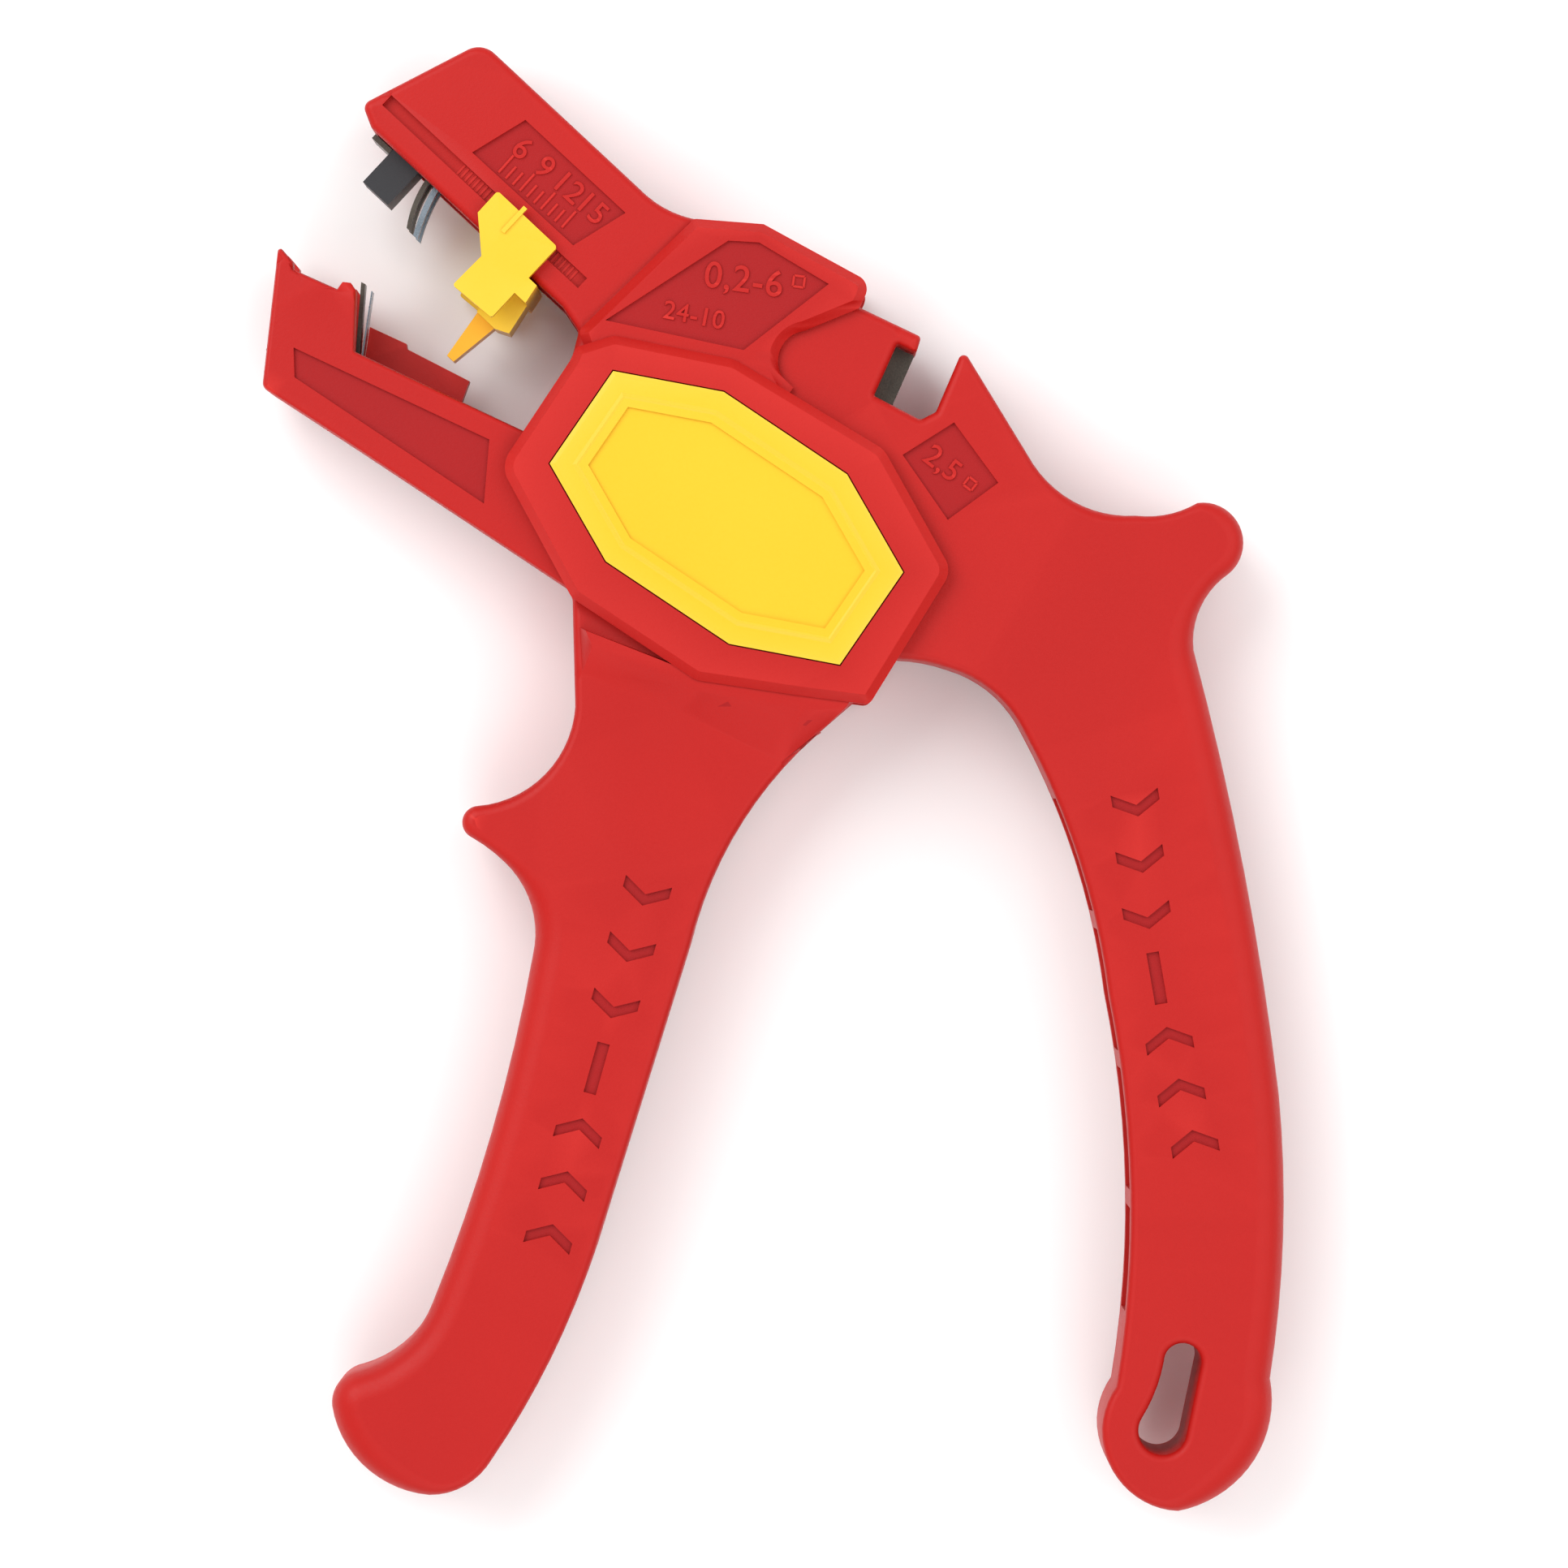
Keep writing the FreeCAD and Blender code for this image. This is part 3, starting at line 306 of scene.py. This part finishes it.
# %% [markdown]
# The hand wants a broad rounding under the palm and a narrow one elsewhere. Long rims are cut into
# short edges first, and the widths are then averaged along the rim, so that one runs into the other.

# %% How broad each rim is
RIM_STEP = 1.5
EASE = 12


def plan(vertex):
    """A vertex seen from above, in millimetres about the pivot."""
    return ((vertex.co.x - PIVOT.x) / MM, (vertex.co.y - PIVOT.y) / MM)


def cut_rims(shape, level, side):
    """Cuts the long rims of a level into short edges."""
    flat = set(level_faces(shape, level, side))
    long_rims = [edge for edge in borders(shape, flat)
                 if rim_wall(edge, flat) and edge.calc_length() / MM > RIM_STEP]
    for edge in long_rims:
        cuts = int(edge.calc_length() / MM / RIM_STEP)
        bmesh.ops.subdivide_edges(shape, edges=[edge], cuts=cuts)
    shape.normal_update()


def rim_widths(edges, flat, palm_width):
    """The width asked for at each rim edge, and the way that edge faces."""
    rims = {}
    for edge in edges:
        wall = rim_wall(edge, flat)
        if wall:
            ends = zip(plan(edge.verts[0]), plan(edge.verts[1]))
            middle = Vector([(p + q) / 2 for p, q in ends] + [0.0])
            rims[edge] = (palm_width(middle, wall.normal), wall.normal.xy.normalized())
    return rims


def eased_widths(rims):
    """Rounding at each rim vertex, averaged along the rim so that broad runs into narrow."""
    near = {}
    for edge, (width, _) in rims.items():
        for vertex in edge.verts:
            near.setdefault(vertex, []).append((edge.other_vert(vertex), width))
    widths = {vertex: sum(w for _, w in links) / len(links) for vertex, links in near.items()}
    for _ in range(EASE):
        widths = {vertex: (widths[vertex] * 2 + sum(widths[other] for other, _ in near[vertex])) /
                  (2 + len(near[vertex])) for vertex in near}
    return widths


print("rims are cut every", RIM_STEP, "mm")

# %% [markdown]
# Everything else needs distances seen from above: how far a point is from each rim, and whether it
# lies within the outlines. NumPy works them out for all points at once.

# %% Measure from the rims
def segments(edges):
    """Where edges start and where they end, seen from above."""
    return (np.array([plan(edge.verts[0]) for edge in edges]),
            np.array([plan(edge.verts[1]) for edge in edges]))


def nearest(points, starts, ends):
    """Distance of each point to each rim edge, and how far along the edge it is met."""
    run = ends - starts
    gap = points[:, None] - starts[None]
    share = np.clip((gap * run[None]).sum(2) / (run * run).sum(1)[None], 0, 1)
    return np.linalg.norm(gap - share[..., None] * run[None], axis=2), share


def inside(points, starts, ends):
    """Which points lie within closed outlines, by counting crossings."""
    x, y = points[:, 0:1], points[:, 1:2]
    crosses = (starts[None, :, 1] > y) != (ends[None, :, 1] > y)
    rise = np.where(ends[:, 1] == starts[:, 1], 1.0, ends[:, 1] - starts[:, 1])
    meets = starts[None, :, 0] + (y - starts[None, :, 1]) * (ends[:, 0] - starts[:, 0])[None] / rise[None]
    return (crosses & (x < meets)).sum(1) % 2 == 1


def depths(points, rims, widths):
    """How far points sink: a quarter circle from the nearest rim, as broad as that rim."""
    width_start = np.array([widths[edge.verts[0]] for edge in rims])
    width_end = np.array([widths[edge.verts[1]] for edge in rims])
    distance, share = nearest(points, *segments(rims))
    width = width_start[None] * (1 - share) + width_end[None] * share
    inward = np.clip(width - distance, 0, None)
    return (width - np.sqrt(np.clip(width ** 2 - inward ** 2, 0, None))).max(1)


# %% [markdown]
# The rows lie at even turns of the quarter circle, so they crowd together where it is steep. One
# more row, just past the rounding, ends the bend in the shading there, and the rest stays flat.

# %% Rows of points inside the rims
TURNS = (22.5, 45.0, 67.5, 90.0)
PAST_THE_ROUNDING = 1.12
ROWS = tuple(1 - math.cos(math.radians(turn)) for turn in TURNS) + (PAST_THE_ROUNDING,)
ROW_CLEAR = 0.93
BORDER_CLEAR = 0.05
LEAST_LEAD = 0.1


def inner_rows(rims, widths, border):
    """Points that follow the rims inwards, left out where another rim or outline is too near."""
    inwards = {}
    for edge, (_, outward) in rims.items():
        for vertex in edge.verts:
            inwards.setdefault(vertex, []).append(-outward)
    made = []
    for reach in ROWS:
        for vertex, directions in inwards.items():
            lead = sum(directions, Vector((0.0, 0.0)))
            if lead.length > LEAST_LEAD:
                step = lead.normalized() * widths[vertex] * reach
                made.append((plan(vertex)[0] + step.x, plan(vertex)[1] + step.y, widths[vertex] * reach))
    made = np.array(made)
    clear = nearest(made[:, :2], *segments(rims))[0].min(1) > made[:, 2] * ROW_CLEAR
    clear &= nearest(made[:, :2], *border)[0].min(1) > BORDER_CLEAR
    clear &= inside(made[:, :2], *border)
    return [tuple(point) for point in made[clear, :2]]


print("rows at", [round(reach, 3) for reach in ROWS], "of the width")

# %% [markdown]
# Now a level can be laid out. The old flat faces go, the corners sink, and the new triangles are
# welded to them. On a straight rim the triangulation may leave a sliver without area outside the
# outline, which would leave an edge open, so those are taken away.

# %% Lay a level out afresh
WELD = 5e-6
SAME_POINT = 1e-5
SLIVER = 0.01 * MM * MM


def lay_out(corners, rows, edges, border):
    """Points, and the triangles that join them within the outlines."""
    place = {vertex: i for i, vertex in enumerate(corners)}
    links = [(place[edge.verts[0]], place[edge.verts[1]]) for edge in edges]
    points = [Vector(point) for point in [plan(vertex) for vertex in corners] + rows]
    laid, _, faces, *_ = delaunay_2d_cdt(points, links, [], 0, SAME_POINT)
    laid = np.array([tuple(point) for point in laid])
    kept = inside(np.array([laid[list(face)].mean(0) for face in faces]), *border)
    return laid, [face for face, keep in zip(faces, kept) if keep]


def drop_slivers(shape):
    """Takes away tiny faces with an open edge, until none is left."""
    slivers = [None]
    while slivers:
        slivers = [face for face in shape.faces if face.calc_area() < SLIVER and
                   any(len(edge.link_faces) == 1 for edge in face.edges)]
        bmesh.ops.delete(shape, geom=slivers, context="FACES")


def round_level(shape, level, side, palm_width):
    """Rounds the rims of the flat faces at a height. Returns how many rim edges it found."""
    cut_rims(shape, level, side)
    flat = level_faces(shape, level, side)
    edges = borders(shape, set(flat))
    rims = rim_widths(edges, set(flat), palm_width)
    if not rims:
        return 0
    widths = eased_widths(rims)
    border = segments(edges)
    corners = list(dict.fromkeys(vertex for edge in edges for vertex in edge.verts))
    laid, faces = lay_out(corners, inner_rows(rims, widths, border), edges, border)
    sinks = depths(laid, rims, widths)
    for vertex, sink in zip(corners, depths(np.array([plan(v) for v in corners]), rims, widths)):
        vertex.co.z -= side * sink * MM
    bmesh.ops.delete(shape, geom=flat, context="FACES")
    fresh = [shape.verts.new(at(x, y, side * (level - sink))) for (x, y), sink in zip(laid, sinks)]
    for face in faces:
        order = face if side > 0 else face[::-1]
        shape.faces.new([fresh[i] for i in order])
    bmesh.ops.delete(shape, geom=[v for v in fresh if not v.link_faces], context="VERTS")
    bmesh.ops.remove_doubles(shape, verts=shape.verts, dist=WELD)
    drop_slivers(shape)
    return len(rims)


# %% [markdown]
# A moulding is the whole piece: its levels rounded on both sides, a finish chosen for each face, and
# the ties to its body and to the CAD piece that it stands for. The CAD mesh brings its own stored
# normals, which belong to its square edges, so they are dropped from the copy.

# %% A moulding from a CAD piece
SHARP = math.radians(32)


def moulding(node, palm_width, finishes, choose, levels=()):
    """A rounded copy of a CAD piece, with a finish chosen for each face."""
    shape = bmesh.new()
    shape.from_mesh(frame["nodes"][node].data)
    bmesh.ops.remove_doubles(shape, verts=shape.verts, dist=WELD)
    shape.normal_update()
    for face in shape.faces:
        face.material_index = choose(face)
    rims = sum(round_level(shape, level, side, palm_width) for level in levels for side in (1, -1))
    for face in shape.faces:
        face.smooth = True
    shape.normal_update()
    open_edges = sum(len(edge.link_faces) != 2 for edge in shape.edges)
    mesh = bpy.data.meshes.new(node + "_moulded")
    shape.to_mesh(mesh)
    shape.free()
    stored = mesh.attributes.get("custom_normal")
    if stored:
        mesh.attributes.remove(stored)
    mesh.set_sharp_from_angle(angle=SHARP)
    for finish in finishes:
        mesh.materials.append(finish)
    piece = bpy.data.objects.new(node + "_moulded", mesh)
    bpy.context.scene.collection.objects.link(piece)
    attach(piece, frame["nodes"][node]["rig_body"])
    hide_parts(node)
    print(node, len(mesh.polygons), "faces,", rims, "rim edges,", open_edges, "open edges")
    return piece


# %% [markdown]
# Sunken plates and grip marks look darker than the skin around them, because the mould is eroded
# more coarsely there. Their floors lie half a millimetre under a known level, so a face is picked
# by its height.

# %% Pick the sunken floors
PLATE_DEPTH = 0.5
FLOOR_REACH = 0.03
FACES_UP = 0.9
GRIP_LEVEL = 7.5
SHOULDER_LEVEL = 9.2
LEVER_LEVEL = 7.3
LEVELS = (GRIP_LEVEL, SHOULDER_LEVEL, LEVER_LEVEL)


def sunken(face):
    """1 on the floor of a plate or mark, 0 elsewhere."""
    height = abs(face.calc_center_median().z - PIVOT.z) / MM
    at_floor = any(abs(height - level + PLATE_DEPTH) < FLOOR_REACH for level in LEVELS)
    return int(abs(face.normal.z) > FACES_UP and at_floor)


def plain(face):
    """0 on every face, for a piece with one finish."""
    return 0


print("floors lie", PLATE_DEPTH, "mm under the levels", LEVELS)


# %% [markdown]
# The body is two shells, closed from behind. The palm lies on the left of the front grip, so its
# rim is broad there from under the guard to the heel, and narrows round the guard's small tip.

# %% The two body shells
BROAD = 3.0
RIM = 0.8
FACES_PALM = 0.2
GRIP_TOP = -28.0
GUARD_END = -41.0
GUARD_RIM = 1.2


def body_rim(middle, outward):
    """How broad the shells' rim is at a place, from the way it faces."""
    if middle.y > GRIP_TOP or outward.x > -FACES_PALM:
        return RIM
    return GUARD_RIM if middle.y > GUARD_END else BROAD


for shell in ("body_shell_front", "body_shell_rear"):
    moulding(shell, body_rim, (RED, RED_SUNKEN), sunken, (GRIP_LEVEL,))

# %% [markdown]
# The rear handle is one moulding with a horn at its top, where the hand stops. The palm lies on its
# right. The hang slot also has walls that face right, so it is kept out by its place.

# %% The rear handle
HORN_END = -12.0
HORN_RIM = 1.8
HORN_TOP = 6.0
PALM_LEFT = 40.0
SLOT_LEFT, SLOT_RIGHT = 44.8, 53.6
SLOT_FOOT, SLOT_TOP = -105.0, -90.0


def handle_rim(middle, outward):
    """How broad the handle's rim is at a place, from the way it faces."""
    in_slot = SLOT_FOOT < middle.y < SLOT_TOP and SLOT_LEFT < middle.x < SLOT_RIGHT
    if middle.y > HORN_TOP or outward.x < FACES_PALM or middle.x < PALM_LEFT or in_slot:
        return RIM
    return HORN_RIM if middle.y > HORN_END else BROAD


moulding("rear_handle", handle_rim, (RED, RED_SUNKEN), sunken, (LEVER_LEVEL,))

# %% [markdown]
# The lower jaw and the yellow pieces are small, so a narrow rim all round is enough. The stop's
# spike lies in shade, and that shade is painted into it as a deeper yellow than the block.

# %% The lower jaw, the badges and the length stop
SMALL_RIM = 0.5
SPIKE_TOP = -2.1


def small_rim(middle, outward):
    """One width all round, wherever the rim lies."""
    return SMALL_RIM


# The stop's spike takes the painted-shade yellow.
def spike_faces(face):
    """1 on the stop's spike, which lies below the jaw's line."""
    middle = (face.calc_center_median() - PIVOT) / MM
    return int(middle.dot(ACROSS) < SPIKE_TOP)


moulding("lower_jaw", small_rim, (RED, RED_SUNKEN), sunken, (LEVER_LEVEL,))
moulding("badge_front", small_rim, (YELLOW,), plain)
moulding("badge_rear", small_rim, (YELLOW,), plain)
moulding("length_stop", small_rim, (YELLOW, SHADED_YELLOW), spike_faces)

# %% [markdown]
# The badge has a fine ridge between its outer band and the sunken panel. The band falls away a
# little to the badge's edge, so that the ridge can stand above it and still lie within the piece.
# Its path is the badge's own outline moved inwards, read from the corners of the CAD piece, and its
# section is a low roof.

# %% The badge's ridge
RIDGE_OUTER, RIDGE_CREST, RIDGE_INNER = 1.9, 2.5, 3.1
RIDGE_TALL = 0.28
RIDGE_SUNK = 0.02
BAND_FALL = 0.4
BAND_REACH = 1.2


def badge_ring(corners, inset):
    """The badge's outline moved inwards, as points in the frame at one height."""
    ring = []
    for i, here in enumerate(corners):
        last, after = corners[i - 1], corners[(i + 1) % len(corners)]
        first = (here - last).normalized()
        second = (after - here).normalized()
        sides = [Vector((-first.y, first.x)), Vector((-second.y, second.x))]
        middle = (sides[0] + sides[1]).normalized()
        ring.append(here + middle * inset * MM / middle.dot(sides[0]))
    return ring


def badge_corners(mesh, back):
    """The corners of a badge's outline in order, read at its back."""
    found = {(round(v.co.x, 6), round(v.co.y, 6)) for v in mesh.vertices if abs(v.co.z - back) < WELD}
    return sorted((Vector(c) for c in found), key=lambda c: math.atan2(c.y - PIVOT.y, c.x - PIVOT.x))


def lower_band(node, corners, level, side):
    """Lowers the outer corners of a moulded badge. Returns how many it found."""
    outer = [vertex for vertex in bpy.data.objects[node + "_moulded"].data.vertices
             if abs(vertex.co.z - level) < WELD and
             min((vertex.co.xy - corner).length for corner in corners) < BAND_REACH * MM]
    for vertex in outer:
        vertex.co.z -= side * BAND_FALL * MM
    return len(outer)


def badge_ridge(node, side):
    """A low roof that runs round a badge."""
    mesh = frame["nodes"][node].data
    level = max(v.co.z * side for v in mesh.vertices) * side
    corners = badge_corners(mesh, min(v.co.z * side for v in mesh.vertices) * side)
    lowered = lower_band(node, corners, level, side)
    shape = bmesh.new()
    rings = []
    for inset, rise in ((RIDGE_OUTER, -RIDGE_SUNK), (RIDGE_CREST, RIDGE_TALL), (RIDGE_INNER, -RIDGE_SUNK)):
        height = level + side * (rise - RIDGE_TALL) * MM
        rings.append([shape.verts.new((c.x, c.y, height)) for c in badge_ring(corners, inset)])
    for outer, inner in ((rings[0], rings[1]), (rings[1], rings[2]), (rings[2], rings[0])):
        for i in range(len(outer)):
            j = (i + 1) % len(outer)
            shape.faces.new((outer[i], outer[j], inner[j], inner[i]))
    bmesh.ops.recalc_face_normals(shape, faces=shape.faces)
    ridge = bpy.data.meshes.new(node + "_ridge")
    shape.to_mesh(ridge)
    shape.free()
    ridge.materials.append(YELLOW)
    piece = bpy.data.objects.new(node + "_ridge", ridge)
    bpy.context.scene.collection.objects.link(piece)
    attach(piece, "main_body")
    print(piece.name, len(corners), "corners,", lowered, "lowered")


badge_ridge("badge_front", 1)
badge_ridge("badge_rear", -1)

# %% [markdown]
# The other pieces have the right shape already. Each keeps its CAD mesh and takes a finish in its
# own material slots, chosen by the slot that the record gives it.

# %% Finish the carried-over pieces
FINISHES = dict(METALS, black_plastic=BLACK, red_plastic=RED, yellow_plastic=YELLOW)
carried = 0
for part in frame["record"]["subparts"]:
    node = frame["nodes"][part["node"]]
    if not node.hide_render:
        for place in node.material_slots:
            place.material = FINISHES[part["material_slot"]]
        carried += 1
print("carried over", carried)

# %% [markdown]
# The moulded figures stand a quarter of a millimetre above the floor of their plates. Blender's
# text makes their outlines, and is turned into a mesh so that it exports. Only plain numbers are
# set: the badge and the lower jaw's plate stay bare.

# %% Raised numbers
RAISED = 0.25
TEXT_BEVEL = 0.03
FIGURE_SHARE = 0.7
FIGURE_SPACING = 1.05


def settle(piece, body):
    """Gives a red mark its finish and its body."""
    piece.data.materials.append(RED)
    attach(piece, body)
    return piece


def number(name, text, place, angle, height, body):
    """A raised number, its figures as tall as asked."""
    letters = bpy.data.curves.new(name, "FONT")
    letters.body = text
    letters.align_x = "CENTER"
    letters.align_y = "CENTER"
    letters.size = height * MM / FIGURE_SHARE
    letters.extrude = RAISED * MM / 2
    letters.bevel_depth = TEXT_BEVEL * MM
    letters.space_character = FIGURE_SPACING
    rough = bpy.data.objects.new(name + "_text", letters)
    mesh = bpy.data.meshes.new_from_object(rough)
    bpy.data.objects.remove(rough)
    middle = place + Vector((0, 0, RAISED * MM / 2))
    mesh.transform(Matrix.Translation(middle) @ Matrix.Rotation(angle, 4, "Z"))
    piece = bpy.data.objects.new(name, mesh)
    bpy.context.scene.collection.objects.link(piece)
    return settle(piece, body)


GRIP_FLOOR = 7.0
SHOULDER_FLOOR = 8.7
HANDLE_FLOOR = 6.8
SCALE_NUMBERS = {"6": (-22.7, 41.0), "9": (-20.2, 38.9), "12": (-17.6, 36.7), "15": (-15.0, 34.4)}
for text, (x, y) in SCALE_NUMBERS.items():
    number("scale_number_" + text, text, at(x, y, GRIP_FLOOR), JAW_ANGLE, 2.5, "main_body")
number("capacity_metric", "0,2-6", at(1.9, 26.3, SHOULDER_FLOOR), math.radians(-8), 2.9, "main_body")
number("capacity_gauge", "24-10", at(-3.6, 22.4, SHOULDER_FLOOR), math.radians(-11), 2.0, "main_body")
number("cutter_capacity", "2,5", at(23.9, 6.1, HANDLE_FLOOR), math.radians(-38), 2.4, "handle")
print("scale numbers", sorted(SCALE_NUMBERS))

# %% [markdown]
# Ticks, the little squares that stand for square millimetres, and the teeth that the stop clicks
# over are all short bars. One helper makes them, with their upper edges rounded.

# %% Bars and squares
BAR_ROUNDING = 0.25
SQUARE_LINE = 0.28


def bars(name, runs, width, tall, body):
    """Raised bars, each from one point to another."""
    shape = bmesh.new()
    for start, end in runs:
        across = (end - start).cross(Vector((0, 0, 1))).normalized() * width * MM / 2
        foot = [shape.verts.new(p) for p in (start - across, start + across, end + across, end - across)]
        lid = bmesh.ops.extrude_face_region(shape, geom=[shape.faces.new(foot)])
        lift = [v for v in lid["geom"] if isinstance(v, bmesh.types.BMVert)]
        bmesh.ops.translate(shape, verts=lift, vec=(0, 0, tall * MM))
    bmesh.ops.recalc_face_normals(shape, faces=shape.faces)
    upper = [e for e in shape.edges if e.calc_length() > 1e-6 and
             min(v.co.z for v in e.verts) > min(v.co.z for v in shape.verts) + tall * MM * 0.9]
    bmesh.ops.bevel(shape, geom=upper, offset=min(width, tall) * MM * BAR_ROUNDING,
                    segments=2, affect="EDGES")
    mesh = bpy.data.meshes.new(name)
    shape.to_mesh(mesh)
    shape.free()
    piece = bpy.data.objects.new(name, mesh)
    bpy.context.scene.collection.objects.link(piece)
    return settle(piece, body)


def square_mark(name, x, y, z, angle, side, body):
    """A small raised outline of a square."""
    turn = Matrix.Rotation(angle, 3, "Z")
    corners = [at(x, y, z) + turn @ Vector((sx, sy, 0)) * side * MM / 2
               for sx, sy in ((-1, -1), (1, -1), (1, 1), (-1, 1))]
    runs = [(corners[i], corners[(i + 1) % 4]) for i in range(4)]
    return bars(name, runs, SQUARE_LINE, RAISED, body)


# %% [markdown]
# The scale has ten ticks a millimetre apart, and every third is long and carries a number. The
# two squares stand beside the capacities.

# %% The scale and the squares
TICK_WIDE = 0.3
SHORT_TICK = 0.7
FIRST_TICK = (at(-23.6, 40.3, GRIP_FLOOR), at(-25.3, 38.4, GRIP_FLOOR))
LAST_TICK = (at(-16.7, 34.1, GRIP_FLOOR), at(-18.3, 32.3, GRIP_FLOOR))
TICKS = 10
ticks = []
for i in range(TICKS):
    share = i / (TICKS - 1)
    head = FIRST_TICK[0].lerp(LAST_TICK[0], share)
    foot = FIRST_TICK[1].lerp(LAST_TICK[1], share)
    ticks.append((head if i % 3 == 0 else foot.lerp(head, SHORT_TICK), foot))
bars("scale_ticks", ticks, TICK_WIDE, RAISED, "main_body")
square_mark("capacity_square", 8.0, 26.2, SHOULDER_FLOOR, math.radians(-8), 1.2, "main_body")
square_mark("cutter_square", 27.0, 3.9, HANDLE_FLOOR, math.radians(-38), 1.1, "handle")
print("ticks", len(ticks))

# %% [markdown]
# The stop clicks over a row of fine teeth on the floor of its groove, along the jaw.

# %% Teeth of the stop's groove
TOOTH_PITCH = 0.57
TOOTH_WIDE, TOOTH_TALL = 0.28, 0.12
TOOTH_LOW, TOOTH_HIGH = 7.45, 8.85
GROOVE_FLOOR = 6.5
TEETH_FROM, TEETH_TO = -48.0, -29.8
count = int((TEETH_TO - TEETH_FROM) / TOOTH_PITCH)
teeth = [(on_jaw(TEETH_FROM + i * TOOTH_PITCH, TOOTH_LOW, GROOVE_FLOOR),
          on_jaw(TEETH_FROM + i * TOOTH_PITCH, TOOTH_HIGH, GROOVE_FLOOR)) for i in range(count)]
bars("stop_teeth", teeth, TOOTH_WIDE, TOOTH_TALL, "main_body")
print("teeth", len(teeth))

# %% [markdown]
# A pale floor and wide soft lamps show the form without hard shadows. One lamp on the left is a
# little stronger, so that the rims read as rims.

# %% Floor and lamps
FLOOR_SIZE = 3.0
FLOOR_DROP = 0.0003
FLOOR_PALE = (0.97, 0.97, 0.97, 1)
AIR = 0.62
floor_shape = bmesh.new()
bmesh.ops.create_grid(floor_shape, x_segments=1, y_segments=1, size=FLOOR_SIZE)
floor_mesh = bpy.data.meshes.new("studio_floor")
floor_shape.to_mesh(floor_mesh)
floor_shape.free()
floor = bpy.data.objects.new("studio_floor", floor_mesh)
floor.location.z = -FLOOR_DROP
floor_mesh.materials.append(Finish("studio_floor", Base_Color=FLOOR_PALE, Roughness=0.9).material)
bpy.context.scene.collection.objects.link(floor)

LAMPS = {"key": ((-0.45, 0.40, 0.80), 0.7, 5.6), "fill": ((0.50, 0.10, 0.75), 0.8, 2.6),
         "foot": ((0.0, -0.60, 0.70), 0.8, 2.4)}
for name, (place, wide, power) in LAMPS.items():
    light = bpy.data.lights.new(name, "AREA")
    light.size = wide
    light.energy = power
    lamp = bpy.data.objects.new(name, light)
    lamp.location = place
    lamp.rotation_euler = (-Vector(place)).to_track_quat("-Z", "Y").to_euler()
    bpy.context.scene.collection.objects.link(lamp)

world = bpy.data.worlds.new("studio_air")
world.use_nodes = True
world.node_tree.nodes["Background"].inputs["Color"].default_value = (1, 1, 1, 1)
world.node_tree.nodes["Background"].inputs["Strength"].default_value = AIR
bpy.context.scene.world = world
bpy.context.scene.view_settings.view_transform = "Standard"
print("lamps", sorted(LAMPS))

# %% [markdown]
# The camera looks straight down on the tool from 0.8 m, which keeps the two sides of each raised
# edge nearly out of sight, as a flat product view does.

# %% Camera
VIEW_WIDTH = 0.17296
VIEW_FROM = 0.8
VIEW_MIDDLE = (0.0011, -0.0005)
SENSOR = 36.0
top = max(corner[2] for corner in cad_box)
camera = bpy.data.objects.new("camera", bpy.data.cameras.new("camera"))
camera.data.sensor_width = SENSOR
camera.data.lens = SENSOR * VIEW_FROM / VIEW_WIDTH
camera.location = (*VIEW_MIDDLE, top + VIEW_FROM)
bpy.context.scene.collection.objects.link(camera)
bpy.context.scene.camera = camera
print("lens", round(camera.data.lens, 1))
